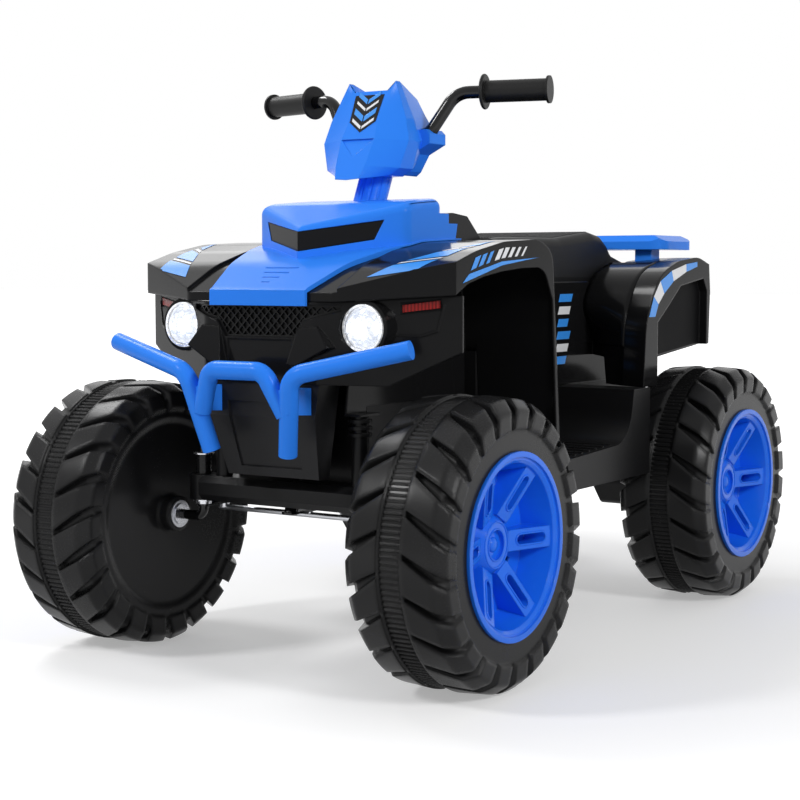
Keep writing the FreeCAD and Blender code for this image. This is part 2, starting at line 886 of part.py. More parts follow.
def column_bush():
    return ring(column_spot(column_bush_z) - column_axis * column_bush_half,
                column_spot(column_bush_z) + column_axis * column_bush_half,
                column_bush_radius, column_radius + fit)


def column_sleeve():
    """Fluted sleeve round the column between hood and handlebar cover."""
    low, high = column_spot(sleeve_low_z), column_spot(sleeve_high_z)
    body = ring(low, high, column_sleeve_radius, column_radius + fit)
    flute = rod(low + Vec(column_sleeve_radius + column_flute / 2, 0, 0),
                high + Vec(column_sleeve_radius + column_flute / 2, 0, 0), column_flute)
    flutes = []
    for i in range(column_flute_count):
        copy = flute.copy()
        copy.rotate(low, column_axis, 360 / column_flute_count * i)
        flutes.append(copy)
    return body.cut(flutes)


def cover_section(shares, y, lean, inset):
    """One outline of the handlebar cover, leaning back as it rises."""
    spots = []
    for across, up in half_outline(list(shares)):
        rise = inset + up * (cover_height - 2 * inset)
        spots.append(Vec(across * (cover_half - inset), y + rise * lean, cover_chin_z + rise))
    return Part.makePolygon(spots + spots[:1])


def cover_front_solid(nose_shares, shares, inset):
    """Front half of the cover, or the room in it, from the slanting face to the seam."""
    nose = cover_section(nose_shares, cover_front_y + 2 * inset, cover_front_lean_share, inset)
    brow = cover_section(shares, cover_brow_y + inset, cover_brow_lean_share, inset)
    return Part.makeLoft([nose, brow, cover_section(shares, cover_seam_y, 0, inset)], True, True)


def cover_back_solid(inset):
    return Part.makeLoft([cover_section(cover_seam_shares, cover_seam_y, 0, inset),
                          cover_section(cover_back_shares, cover_back_y - inset, 0, inset)], True, True)


def cover_cuts():
    """Room for the handlebar and the column's sleeve."""
    return [handlebar_bar(bar_radius + gap),
            rod(column_spot(sleeve_low_z), column_spot(sleeve_high_z + gap), column_sleeve_radius + gap)]


def bar_cover_front():
    room = cover_front_solid(cover_nose_room_shares, cover_room_shares, cover_wall)
    shell = cover_front_solid(cover_front_shares, cover_seam_shares, 0)
    return shell.cut([room, cover_vee()] + cover_cuts())


def cover_vee():
    """Pointed facet cut into the cover's slanting face."""
    low, high = cover_vee_low_share * cover_height, cover_vee_high_share * cover_height
    low_y, high_y = (cover_front_y + rise * cover_front_lean_share for rise in (low, high))
    face = prism("front", half_outline([(0, cover_chin_z + low),
                                        (cover_vee_half_share * cover_half, cover_chin_z + high)]),
                 cover_front_y - over, cover_seam_y)
    front_y, low_z, high_z = high_y - cover_half, cover_chin_z + low, cover_chin_z + high
    return face.common(prism("side", [(low_y, low_z), (high_y + cover_vee_depth, high_z), (front_y, high_z),
                                      (front_y, low_z)], -cover_half, cover_half))


def bar_cover_rear():
    inner = cover_back_solid(cover_wall)
    corners = [(across * pod_reach, cover_chin_z + up * pod_height) for across, up in pod_shares]
    pod = prism("front", corners, pod_front_y, pod_back_y).cut(inner)
    return joined(cover_back_solid(0).cut(inner), pod, mirrored(pod)).cut(cover_cuts())


def grip():
    """Smooth hand grip with a rounded inner flange and a thin flange at its closed end."""
    run = bar_spots[2] - bar_spots[1]
    length = (bar_end_x - grip_start_x) * run.Length / run.x
    bend = grip_flange / 2 * round_share
    corners = [(0, bar_radius + fit), (0, grip_flange_radius, bend), (grip_flange, grip_flange_radius, bend),
               (grip_flange, grip_radius), (length, grip_radius), (length, grip_end_radius),
               (length + grip_end, grip_end_radius), (length + grip_end, 0), (length + gap, 0),
               (length + gap, bar_radius + fit)]
    shape = spin(corners)
    shape.rotate(Vec(), Vec(0, 0, 1), math.degrees(math.atan2(run.y, run.x)))
    start = bar_spots[1] + run * ((grip_start_x - bar_top_x) / run.x)
    return shifted(shape, start.x, start.y, start.z)


# Front body, hood and nose

def fender_side():
    """One front fender with its brow, flange and mudguard, as a thin shell."""
    guard_low_z = foot_toe_z + gap

    def crown(inset):
        """Deck line with its rear end rounded down to the mudguard's shoulder."""
        line = deck_line(inset)
        shoulder = (guard_shoulder_y - inset, guard_shoulder_z - inset, guard_shoulder_round - inset)
        return line[:-1] + [line[-1] + (deck_crown_bend,), shoulder]
    guard = [(guard_low_y, guard_low_z), (guard_low_y - guard_thick, guard_low_z)]
    brow = [(deck_front_y, deck_front_z - brow_depth)]
    flange = prism("side", crown(0) + guard + arch_line()[::-1] + brow, channel_inner_x, fender_half)
    inside = [(deck_front_y + wall, deck_front_z - wall)] + crown(wall)[1:]
    inside += [(guard_low_y - wall, guard_low_z - over), (deck_front_y + wall, guard_low_z - over)]
    cavity = prism("side", inside, channel_inner_x - over, fender_half - wall)
    channel = prism("side", channel_line(-over) + channel_line(channel_drop)[::-1], channel_inner_x - over,
                    channel_x)
    floor = prism("side", channel_line(channel_drop) + channel_line(channel_drop + wall)[::-1],
                  channel_inner_x, channel_x + wall)
    core = Part.makeBox(core_rear_half + gap, guard_low_y + over - core_front_y + gap,
                        base_z - guard_low_z + over,
                        Vec(0, core_front_y - gap, guard_low_z - over))
    nose = prism("plan", nose_plan(0), guard_low_z - over, guard_shoulder_z + deck_rise)
    hollow = prism("plan", nose_plan(wall), guard_low_z - 2 * over, guard_shoulder_z + deck_rise)
    return joined(flange.cut(cavity.common(hollow)), floor).cut([channel, core]).common(nose)


def channel_line(drop):
    """The deck line carried level to the front of the seat base."""
    return deck_line(drop) + [(core_front_y, deck_front_z + deck_rise - drop)]


def nose_plan(inset):
    """Plan of the front fender's side, swept back from the brow."""
    slope = brow_sweep / (fender_half - brow_inner_x)
    edge = fender_half + over
    return [(channel_inner_x - over, deck_front_y + inset), (brow_inner_x, deck_front_y + inset, brow_round),
            (edge, deck_front_y + inset + (edge - brow_inner_x) * slope), (edge, core_front_y + 5 * over),
            (channel_inner_x - over, core_front_y + 5 * over)]


def front_body():
    side = fender_side()
    deck = channel_line(channel_drop)
    under = channel_line(channel_drop + wall)
    plate = prism("side", deck + under[::-1], -channel_inner_x - over, channel_inner_x + over)
    knee_y = front_axle_y - beam_half_depth
    inner_wall = prism("side", [under[1][:2]] + under[2:]
                       + [(core_front_y, seam_z), (tub_front_y, seam_z), (tub_front_y, post_top_z),
                          (knee_y, post_top_z), (under[1][0], deck_front_z - brow_depth)],
                       core_front_half - wall, core_front_half)
    shelf = prism("plan", [(core_front_half - wall, knee_y), (post_x + post_radius + post_ring, knee_y),
                           (post_x + post_radius + post_ring, tub_front_y),
                           (core_front_half - wall, tub_front_y)],
                  post_top_z, post_top_z + wall)
    half = joined(side, inner_wall, shelf)
    boss = rod(column_spot(column_bush_z) - column_axis * column_bush_half,
               column_spot(column_bush_z) + column_axis * column_bush_half, column_bush_radius + wall)
    bore = rod(column_spot(column_bush_z) - column_axis * 2 * column_bush_half,
               column_spot(column_bush_z) + column_axis * 2 * column_bush_half, column_bush_radius + fit)
    return joined(half, mirrored(half), plate, boss).cut(bore)


def hood_box(inset):
    """Raised box of the hood, pointed at the front."""
    low_z = deck_front_z - inset
    profile = [(box_point_y - over, low_z), (box_point_y - over, box_point_z - inset),
               (box_point_y, box_point_z - inset), (box_slope_y, box_slope_z - inset, box_bend),
               (box_top_y, box_top_z - inset, box_bend), (box_back_y - inset, box_back_z - inset),
               (box_back_y - inset, low_z)]
    body = prism("side", profile, -box_half, box_half)
    slope = (box_corner_y - box_point_y) / box_half
    tip = box_point_y + 2 * inset * math.hypot(1, slope)
    half = box_half - inset
    plan = half_outline([(0, tip), (half, tip + half * slope, box_side_round - inset),
                         (half, box_side_y - inset, box_side_round - inset),
                         (box_back_half - inset, box_back_y - inset)])
    return body.common(prism("plan", plan, low_z - over, box_top_z + over))


def scoop_outline(border):
    """Front view of the scoop's right half, widened by a border."""
    top = box_point_z - scoop_border + border
    low = box_point_z - scoop_border - scoop_height - border
    return [(0, low), (scoop_tail_x + border, low + scoop_rise), (scoop_end_x + border, top + scoop_rise),
            (0, top)]


def scoop_band(start, stop):
    """Space behind the pointed front of the box between two depths."""
    slope = (box_corner_y - box_point_y) / box_half
    lean = math.hypot(1, slope)
    corners = [(0, box_point_y + start * lean), (box_half, box_point_y + start * lean + box_half * slope),
               (box_half, box_point_y + stop * lean + box_half * slope), (0, box_point_y + stop * lean)]
    return prism("plan", corners, deck_front_z, box_top_z)


def scoop_solid(border, start, stop):
    face = prism("front", scoop_outline(border), box_point_y - over, box_back_y)
    return both_sides(face.common(scoop_band(start, stop)))


def tongue():
    """Skin that lies on the deck and folds down over the nose."""
    top, low = deck_line(channel_drop - hood_skin), deck_line(channel_drop)
    back = [(box_back_y, deck_front_z + deck_rise - channel_drop + hood_skin),
            (box_back_y, deck_front_z + deck_rise - channel_drop)]
    fold_y = fascia_front_y - gap
    front_y = fold_y - tongue_fold
    fold = [(fold_y, deck_front_z - channel_drop), (fold_y, tongue_fold_z),
            (front_y, tongue_fold_z), (front_y, deck_front_z - channel_drop + hood_skin / 2)]
    band = prism("side", [place for place in top if place[0] < box_back_y] + back
                 + [place for place in reversed(low) if place[0] < box_back_y][:-1] + fold,
                 -box_half - hood_lap, box_half + hood_lap)
    plan = half_outline([(tongue_half, front_y - over), (tongue_half, deck_front_y),
                         (box_half + hood_lap, box_corner_y), (box_half + hood_lap, box_back_y)])
    return band.common(prism("plan", plan, tongue_fold_z - over, box_top_z))


def below_line(drop, start, stop):
    """Everything under the deck line, lowered by drop, between two distances from the middle."""
    return prism("side", channel_line(drop) + [(core_front_y, tongue_fold_z - over),
                                               (deck_front_y - gap, tongue_fold_z - over),
                                               (deck_front_y - gap, deck_front_z - drop)], start, stop)


def hood_wing():
    """Stepped wing behind the raised box, beside the dash."""
    low_z = deck_front_z + deck_rise - channel_drop
    return prism("side", [(box_side_y - 2 * wing_thick, low_z), (box_side_y - 2 * wing_thick, wing_high_z),
                          (wing_step_y, wing_high_z), (wing_step_y, wing_low_z),
                          (box_back_y - wing_rake, wing_low_z), (box_back_y - 2 * wing_rake, low_z)],
                 box_half - wing_thick, box_half)


def hood():
    box = softened(hood_box(0), box_edge_round, is_box_top_edge)
    shell = joined(box, tongue()).cut(hood_box(wall))
    shell = joined(shell, hood_wing(), mirrored(hood_wing()))
    middle = below_line(channel_drop, -channel_x + gap, channel_x - gap)
    edge = below_line(-gap, channel_x - gap, box_half + over)
    column = rod(column_spot(sleeve_low_z) - column_axis * box_half, column_spot(sleeve_high_z),
                 column_sleeve_radius + hood_clear)
    grooves = [prism("plan", [(-groove_half * (1 - i / groove_count), y - groove_width / 2),
                              (groove_half * (1 - i / groove_count), y - groove_width / 2),
                              (groove_half * (1 - i / groove_count), y + groove_width / 2),
                              (-groove_half * (1 - i / groove_count), y + groove_width / 2)],
                     deck_front_z, box_top_z)
               for i, y in ((i, groove_start_y - groove_pitch * i) for i in range(groove_count))]
    skin = prism("side", deck_line(channel_drop - hood_skin - over)
                 + deck_line(channel_drop - hood_skin + groove_cut)[::-1], -box_half, box_half)
    return shell.cut([middle, edge, mirrored(edge), column,
                      scoop_solid(gap, -over, scoop_depth)] + [cut.common(skin) for cut in grooves])


def is_box_top_edge(edge):
    """Edges along the top of the hood's raised box, but not its pointed front."""
    middle = edge.CenterOfMass
    return abs(middle.x) > box_back_half and middle.z > box_point_z and middle.y > box_corner_y


def hood_scoop():
    return scoop_solid(0, scoop_depth - scoop_plate, scoop_depth)


def nose_strip(inner_inset, outer_inset, low_z, high_z):
    """Upright strip that follows the swept nose, between two depths behind its face."""
    edge = fender_half
    outer = [(fascia_flat_half, fascia_face_y(0, outer_inset), fascia_round),
             (edge, fascia_face_y(edge, outer_inset))]
    inner = [(edge, fascia_face_y(edge, inner_inset)),
             (fascia_flat_half, fascia_face_y(0, inner_inset), fascia_round)]
    mirror_outer = [(-corner[0],) + corner[1:] for corner in reversed(outer)]
    mirror_inner = [(-corner[0],) + corner[1:] for corner in reversed(inner)]
    return prism("plan", mirror_outer + outer + inner + mirror_inner, low_z, high_z)


def fascia_outline():
    brow_low_z = deck_front_z - brow_depth - gap
    return half_outline([(fascia_flat_half, fascia_low_z), (fascia_cheek_x, fascia_cheek_z),
                         (fender_half, fascia_blade_z), (fender_half, arch_front_z - gap),
                         (brow_inner_x, brow_low_z)])


def grille_outline(inset):
    return half_outline([(grille_low_half - inset, grille_low_z + inset),
                         (grille_neck_half - inset, grille_neck_z + inset),
                         (grille_high_half - inset, grille_end_z + inset),
                         (grille_high_half - inset, grille_high_z - inset)])


def marker_outline(border):
    low, rise = marker_low_z - border, marker_rise
    return [(marker_in_x - border, low), (marker_out_x + border, low + rise),
            (marker_out_x + border, low + rise + marker_height + 2 * border),
            (marker_in_x - border, low + marker_height + 2 * border)]


def front_fascia():
    depth = fascia_front_y + brow_sweep + fascia_wall + 5 * over
    face = nose_strip(fascia_wall, 0, fascia_blade_z - fender_half, box_top_z)
    plate = face.common(prism("front", fascia_outline(), fascia_front_y - over, depth))
    window = prism("front", grille_outline(0), fascia_front_y - over, depth)
    lamp = rod(Vec(headlight_x, fascia_front_y - over, headlight_z), Vec(headlight_x, depth, headlight_z),
               headlight_radius + gap)
    pocket = prism("front", marker_outline(marker_border), fascia_front_y - over, depth).common(
        nose_strip(marker_sunk, -over, fascia_low_z, box_top_z))
    seat = prism("front", marker_outline(gap), fascia_front_y - over, depth).common(
        nose_strip(marker_sunk + marker_proud, -over, fascia_low_z, box_top_z))
    chin = prism("front", half_outline([(chin_recess_half, fascia_low_z - over),
                                        (chin_recess_half, grille_low_z - grille_rim)]),
                 fascia_front_y - over, fascia_front_y + chin_recess)
    collar = rod(Vec(headlight_x, headlight_front_y + headlight_flange, headlight_z),
                 Vec(headlight_x, depth, headlight_z), headlight_radius + headlight_collar).common(
        prism("front", fascia_outline(), fascia_front_y - over, depth)).common(
        nose_strip(fascia_wall / 2, -2 * headlight_barrel, fascia_low_z, box_top_z))
    extras = [chin_block(), collar, fascia_ridge_bead()]
    body = joined(plate.cut([window, chin]), *extras, *[mirrored(extra) for extra in extras])
    return body.cut([lamp, mirrored(lamp), pocket, mirrored(pocket), seat, mirrored(seat)])


def chin_block():
    """Tusk beside the chin, level with the fascia at its top and standing out at its foot."""
    height = chin_block_high_z - chin_block_low_z
    back_y = fascia_front_y + brow_sweep
    face = prism("front", [(chin_block_x + across * chin_block_width, chin_block_low_z + up * height)
                           for across, up in chin_block_shares], fascia_front_y - 2 * chin_block_out, back_y)
    wedge = prism("side", [(fascia_front_y - chin_block_out, chin_block_low_z),
                           (fascia_front_y - fascia_ridge_out, chin_block_high_z),
                           (back_y, chin_block_high_z), (back_y, chin_block_low_z)], 0, fender_half)
    layer = nose_strip(fascia_wall / 2, -2 * chin_block_out, fascia_low_z, box_top_z)
    return face.common(wedge).common(layer)


def fascia_ridge_bead():
    """Raised line under and beside the marker."""
    height = arch_front_z - fascia_low_z
    line = [(across * fender_half, fascia_low_z + up * height) for across, up in fascia_ridge_shares]
    back = [(x + fascia_ridge / 2, z - fascia_ridge) for x, z in reversed(line)]
    face = prism("front", line + back, fascia_front_y - over, fascia_front_y + 2 * brow_sweep)
    return face.common(nose_strip(fascia_wall / 2, -fascia_ridge_out, fascia_low_z, box_top_z))


def grille():
    """Lattice of crossed bars on a back plate, in a frame behind the fascia's window."""
    start_y, stop_y = fascia_front_y, fascia_front_y + brow_sweep
    frame = prism("front", grille_outline(-grille_rim), start_y, stop_y)
    opening = prism("front", grille_outline(grille_bar), start_y - over, stop_y + over)
    low_z, high_z = grille_low_z - grille_rim, grille_high_z + grille_rim
    height = high_z - low_z
    count = int((grille_high_half + height) / grille_pitch)
    bars = []
    for lean in (-height / 2, height / 2):
        for i in range(-count, count + 1):
            x = i * grille_pitch
            bars.append(prism("front", [(x - lean - grille_bar / 2, low_z),
                                        (x - lean + grille_bar / 2, low_z),
                                        (x + lean + grille_bar / 2, high_z),
                                        (x + lean - grille_bar / 2, high_z)],
                              start_y, stop_y))
    lattice = bars[0].multiFuse(bars[1:]).common(prism("front", grille_outline(0), start_y, stop_y))
    depth = fascia_wall + grille_plate
    layer = nose_strip(depth + grille_back / 2, fascia_wall, low_z - over, high_z + over)
    back = prism("front", grille_outline(-grille_rim / 2), start_y, stop_y).common(
        nose_strip(depth + grille_back, depth, low_z - over, high_z + over))
    return joined(joined(frame.cut(opening), lattice).common(layer), back)


def on_lamp(shape):
    """A lamp piece built about X, pointed forward at the left headlight."""
    copy = shape.copy()
    copy.rotate(Vec(), Vec(0, 0, 1), -90)
    return shifted(copy, headlight_x, headlight_front_y, headlight_z)


def headlight_bowl():
    seat_x = -lens_thick - headlight_flange
    back_radius = headlight_radius * headlight_back_share
    return on_lamp(spin([(0, lens_radius + gap), (0, headlight_radius),
                         (-headlight_barrel, headlight_radius),
                         (-headlight_depth, back_radius), (-headlight_depth, 0), (wall - headlight_depth, 0),
                         (wall - headlight_depth, back_radius - wall),
                         (seat_x, lens_radius - headlight_flange),
                         (-headlight_flange, lens_radius - headlight_flange),
                         (-headlight_flange, lens_radius + gap)]))


def headlight_lens():
    """Domed clear lens on the bowl's ledge."""
    bulge = (lens_radius ** 2 + lens_dome ** 2) / (2 * lens_dome)
    edge = lens_thick - headlight_flange
    outer = Part.makeSphere(bulge, Vec(edge + lens_dome - bulge, 0, 0))
    inner = Part.makeSphere(bulge, Vec(edge + lens_dome - bulge - lens_thick, 0, 0))
    disc = rod(Vec(-headlight_flange, 0, 0), Vec(lens_dome + over, 0, 0), lens_radius)
    return on_lamp(disc.common(outer).cut(inner))


def headlight_led():
    base = wall - headlight_depth
    return on_lamp(spin([(base, 0), (base, led_radius), (base + led_height / 2, led_radius),
                         (base + led_height, led_radius / 2), (base + led_height, 0)]))


def side_marker():
    depth = fascia_front_y + brow_sweep + fascia_wall + 5 * over
    return prism("front", marker_outline(0), fascia_front_y - over, depth).common(
        nose_strip(marker_sunk + marker_proud, marker_sunk - marker_proud, fascia_low_z, box_top_z))


def skid_plate():
    high_z = fascia_low_z - gap
    side = prism("side", [(skid_front_y, high_z), (skid_front_y, skid_knee_z), (skid_low_y, skid_low_z),
                          (skid_back_y, skid_low_z), (skid_back_y, high_z)], -skid_top_half, skid_top_half)
    face = prism("front", half_outline([(skid_low_half, skid_low_z), (skid_top_half, high_z)]),
                 skid_front_y - over, skid_back_y)
    inside = prism("side", [(skid_front_y + wall, high_z - wall), (skid_front_y + wall, skid_knee_z),
                            (skid_low_y + wall, skid_low_z + wall), (skid_back_y + over, skid_low_z + wall),
                            (skid_back_y + over, high_z - wall)], wall - skid_top_half, skid_top_half - wall)
    narrow = prism("front", half_outline([(skid_low_half - wall, skid_low_z),
                                          (skid_top_half - wall, high_z)]),
                   skid_front_y - over, skid_back_y + 2 * over)
    panel = prism("front", half_outline([(skid_low_half - 2 * skid_frame, skid_low_z + skid_frame),
                                         (skid_top_half - 3 * skid_frame, high_z - 2 * skid_frame)]),
                  skid_front_y - over, skid_back_y)
    recess = prism("side", [(skid_front_y - over, high_z), (skid_front_y - over, skid_low_z),
                            (skid_low_y + skid_recess / 2, skid_low_z),
                            (skid_front_y + skid_recess / 2, skid_knee_z),
                            (skid_front_y + skid_recess / 2, high_z)], -skid_top_half, skid_top_half)
    return side.common(face).cut([inside.common(narrow), panel.common(recess)])


def bumper():
    """Two bent uprights with outer arms, a middle hoop and two brackets."""
    arm = tube([Vec(bumper_end_x, bumper_end_y, bumper_end_z),
                Vec(bumper_bend_x, bumper_bend_y, bumper_bend_z),
                Vec(bumper_foot_x, bumper_foot_y, bumper_foot_z)], [0, bumper_bend, 0], bumper_radius)
    lean = (bumper_bend_y - bumper_foot_y) / (bumper_bend_z - bumper_foot_z)
    low_y = bumper_foot_y + (hoop_low_z - bumper_foot_z) * lean
    high_y = bumper_foot_y + (hoop_high_z - bumper_foot_z) * lean
    hoop = tube([Vec(-hoop_low_x, low_y, hoop_low_z), Vec(-hoop_high_x, high_y, hoop_high_z),
                 Vec(hoop_high_x, high_y, hoop_high_z), Vec(hoop_low_x, low_y, hoop_low_z)],
                [0, hoop_bend, hoop_bend, 0], bumper_radius)
    mid_x = (bumper_foot_x + bumper_bend_x) / 2
    bracket = prism("side", [(skid_front_y - gap, bumper_bracket_low_z),
                             (skid_front_y - gap, bumper_bracket_high_z),
                             (bumper_bend_y, bumper_bracket_high_z),
                             (bumper_bend_y, bumper_bracket_low_z + wall)],
                    mid_x - bumper_bracket_half, mid_x + bumper_bracket_half)
    return joined(arm, mirrored(arm), hoop, bracket, mirrored(bracket))


# Chassis tub and rear body

def tub_plan(inset):
    return half_outline([(core_front_half - inset, tub_front_y + inset),
                         (core_front_half - inset, tub_neck_y),
                         (core_rear_half - inset, tub_flare_y),
                         (core_rear_half - inset, tub_back_y - inset)])


def tub_space(inset, high_z):
    side = prism("side", [(tub_front_y + inset, tub_low_z + inset), (tub_step_y, tub_low_z + inset),
                          (tub_step_y + tub_ramp, tub_high_z + inset),
                          (tub_back_y - inset, tub_high_z + inset),
                          (tub_back_y - inset, high_z), (tub_front_y + inset, high_z)], -core_rear_half,
                          core_rear_half)
    return side.common(prism("plan", tub_plan(inset), tub_low_z - over, high_z + over))


def foot_floor_z(y):
    toe_y = foot_front_y - foot_toe
    return foot_toe_z + (y - toe_y) / (foot_heel_y - toe_y) * (foot_heel_z - foot_toe_z)


def footboard():
    toe_y = foot_front_y - foot_toe
    block = prism("side", [(foot_front_y, foot_low_z), (toe_y, foot_toe_z),
                           (foot_heel_y, foot_heel_z, foot_round),
                           (foot_heel_y + foot_riser, seam_z), (foot_back_y, seam_z),
                           (foot_back_y, foot_low_z)],
                  core_rear_half - wall, foot_half)
    inside = prism("side", [(foot_front_y + 2 * wall, foot_low_z - over),
                            (toe_y + 2 * wall, foot_toe_z - wall),
                            (foot_heel_y + wall, foot_heel_z - wall, foot_round),
                            (foot_heel_y + foot_riser + wall, seam_z - wall),
                            (foot_back_y - wall, seam_z - wall), (foot_back_y - wall, foot_low_z - over)],
                   core_rear_half, foot_half - wall)
    ribs = []
    for i in range(tread_rib_count):
        y = tread_rib_start_y + tread_rib_pitch * (i - tread_rib_count // 2)
        z = foot_floor_z(y)
        ribs.append(prism("side", [(y - tread_rib_half, z - wall / 2),
                                   (y - tread_rib_half / 2, z + tread_rib_height),
                                   (y + tread_rib_half / 2, z + tread_rib_height),
                                   (y + tread_rib_half, z - wall / 2)],
                          core_rear_half + 3 * wall, foot_half - 3 * wall))
    return joined(block.cut(inside), *ribs)


def pedal_ears():
    """Two ears on the right footboard that hold the pedal's pin."""
    ears = []
    for side in (-1, 1):
        near = -pedal_mid_x + side * (pedal_half + gap)
        low = foot_floor_z(pedal_hinge_y) - wall / 2
        high = pedal_hinge_z + pedal_ear_half
        ears.append(prism("side", [(pedal_hinge_y - pedal_ear_half, low),
                                   (pedal_hinge_y - pedal_ear_half, high, pedal_ear_half / 2),
                                   (pedal_hinge_y + pedal_ear_half, high, pedal_ear_half / 2),
                                   (pedal_hinge_y + pedal_ear_half, low)],
                          min(near, near + side * pedal_ear), max(near, near + side * pedal_ear)))
    return ears


def pedal_pin(extra):
    reach = pedal_half + gap + pedal_ear
    return rod(Vec(-pedal_mid_x - reach, pedal_hinge_y, pedal_hinge_z),
               Vec(-pedal_mid_x + reach, pedal_hinge_y, pedal_hinge_z),
               pedal_pin_radius + extra)


def axle_bracket():
    """Hanger for the rear axle and its gearbox."""
    near, far = rear_axle_y - bracket_half, rear_axle_y + bracket_half
    low = axle_z - bracket_half
    return prism("side", [(near, low, bracket_half * round_share), (near, tub_high_z + wall),
                          (far, tub_high_z + wall),
                          (far, low, bracket_half * round_share)], gearbox_inner_x - bracket_width,
                          gearbox_inner_x)


def chassis_tub():
    board, bracket = footboard(), axle_bracket()
    shell = joined(tub_space(0, seam_z), board, mirrored(board), bracket, mirrored(bracket), *pedal_ears())
    axle = rod(Vec(-core_rear_half, rear_axle_y, axle_z), Vec(core_rear_half, rear_axle_y, axle_z),
               axle_radius + fit)
    column = rod(column_spot(tub_low_z - 4 * over), column_spot(seam_z + over), column_radius + over)
    return shell.cut([tub_space(wall, seam_z + over), axle, column, pedal_pin(fit)])


def rear_fender_line(inset):
    """Front face, shoulder and top of the rear fender in side view, lowered and set back by inset."""
    points = [(rear_front_y + inset, seam_z - inset), (rear_knee_y + inset, rear_knee_z - inset)]
    points += [(rear_knee_y + along * (rear_top_y - rear_knee_y),
                rear_knee_z + up * (rear_top_z - rear_knee_z) - inset)
               for along, up in rear_top_shares]
    return bent(points + [(rear_corner_y - inset, rear_corner_z - inset)], rear_bend)


def rear_fender_block(inset, inner_x, outer_x, tail):
    """The fender between two distances from the middle, its front swept back in two bands."""
    front_y, back_y, low_z = rear_front_y + inset, rear_tail_y + over, tail[-1][1]
    flow = rear_fender_line(inset) + [(back_y, rear_corner_z - inset), (back_y, low_z - over),
                                      (front_y, low_z - over)]
    crease = shifted(Part.Face(outline("side", rear_crease_x, flow)), 0, rear_crease_sweep, 0)
    outward = Vec(rear_fender_half - rear_crease_x, -rear_crease_sweep, 0)
    inward = Vec(core_rear_half - rear_crease_x, rear_sweep - rear_crease_sweep, 0)
    swept = joined(crease.extrude(outward * rear_over_share), crease.extrude(inward * rear_over_share))
    trim = [(front_y - over, low_z), (front_y - over, rear_top_z + over),
            (rear_corner_y - inset, rear_top_z + over)] + tail
    return swept.common(prism("side", trim, inner_x, outer_x))


def rear_fender():
    block = rear_fender_block(0, core_rear_half - wall, rear_fender_half,
                              [(rear_tail_y, rear_tail_z), (rear_panel_low_y, rear_panel_low_z),
                               (rear_panel_front_y, rear_panel_front_z),
                               (rear_panel_front_y - 2 * over, seam_z)])
    inside = rear_fender_block(wall, core_rear_half, rear_fender_half - rear_recess - wall,
                               [(rear_tail_y - wall, rear_tail_z), (rear_panel_low_y - wall, seam_z - over)])
    arch = [(rear_arch_front_y, seam_z - over), (rear_arch_front_y, rear_arch_knee_z)]
    arch += [(rear_arch_front_y + along * rear_arch_length, rear_arch_knee_z + up * rear_arch_rise)
             for along, up in rear_arch_shares]
    arch += [(rear_arch_front_y + rear_arch_length, seam_z - over)]
    recess = prism("side", arch, rear_fender_half - rear_recess, rear_fender_half + over)
    return block.cut([inside, recess])


def rear_body():
    fender = rear_fender()
    core = prism("plan", half_outline([(core_rear_half, core_front_y), (core_rear_half, core_back_y)]),
                 seam_z, base_z)
    inside = prism("plan", half_outline([(core_rear_half - wall, core_front_y + wall),
                                         (core_rear_half - wall, core_back_y - wall)]), seam_z - over,
                                         base_z - wall)
    socket = rod(Vec(-core_rear_half - over, socket_y, socket_z),
                 Vec(over - core_rear_half, socket_y, socket_z),
                 socket_radius + gap)
    return joined(core.cut(inside), fender, mirrored(fender)).cut(socket)


def rear_cover():
    """Ribbed panel that closes the tail."""
    def panel(inset):
        return half_outline([(rear_cover_half - rear_cover_chamfer - inset, rear_cover_low_z + inset),
                             (rear_cover_half - inset, rear_cover_low_z + rear_cover_chamfer + inset),
                             (rear_cover_half - inset, rear_cover_high_z - inset)])
    back_y = core_back_y + rear_cover_thick
    plate = prism("front", panel(0), core_back_y, back_y)
    recess = prism("front", panel(rear_cover_frame), back_y - wall, back_y + over)
    pitch = (rear_cover_high_z - rear_cover_low_z - 2 * rear_cover_frame) / (rear_cover_rib_count + 1)
    ribs = []
    for i in range(rear_cover_rib_count):
        z = rear_cover_low_z + rear_cover_frame + pitch * (i + 1)
        half = rear_cover_half - 2 * rear_cover_frame
        ribs.append(prism("front", [(-half, z - rear_cover_rib_half), (half, z - rear_cover_rib_half),
                                    (half, z + rear_cover_rib_half), (-half, z + rear_cover_rib_half)],
                          back_y - wall - wall / 2, back_y - wall / 3))
    return joined(plate.cut(recess), *[rib.common(plate) for rib in ribs])


def seat():
    def space(inset):
        profile = [(seat_front_y + inset, base_z - inset)]
        profile += [(seat_front_y + inset + along * (seat_length - 2 * inset),
                     base_z + up * seat_height - inset,
                     seat_round if 0 < along < 1 else 0) for along, up in seat_top_shares]
        profile += [(seat_front_y + seat_length - inset, base_z - inset)]
        section = half_outline([(seat_half - inset, base_z - over), (seat_half - inset, base_z + seat_lip),
                                (seat_top_half - inset, base_z + seat_height + over)])
        return prism("side", profile, -seat_half, seat_half).common(
            prism("front", section, seat_front_y - over, seat_front_y + seat_length + over))
    body = softened(space(0), seat_edge_round, is_seat_top_edge)
    return body.cut(space(seat_wall))


def is_seat_top_edge(edge):
    """Long edges between the top and the sides of the seat."""
    middle = edge.CenterOfMass
    return (abs(middle.x) > seat_top_half / 2 and middle.z > base_z + 2 * seat_lip
            and edge.BoundBox.YLength > gap)


def on_dash(shape, x):
    """A control built with +Z out of the panel, set on the dash's sloping face."""
    copy = shape.copy()
    copy.rotate(Vec(), Vec(1, 0, 0), -dash_slope)
    return shifted(copy, x, (dash_knee_y + dash_foot_y) / 2, (dash_knee_z + dash_foot_z) / 2)


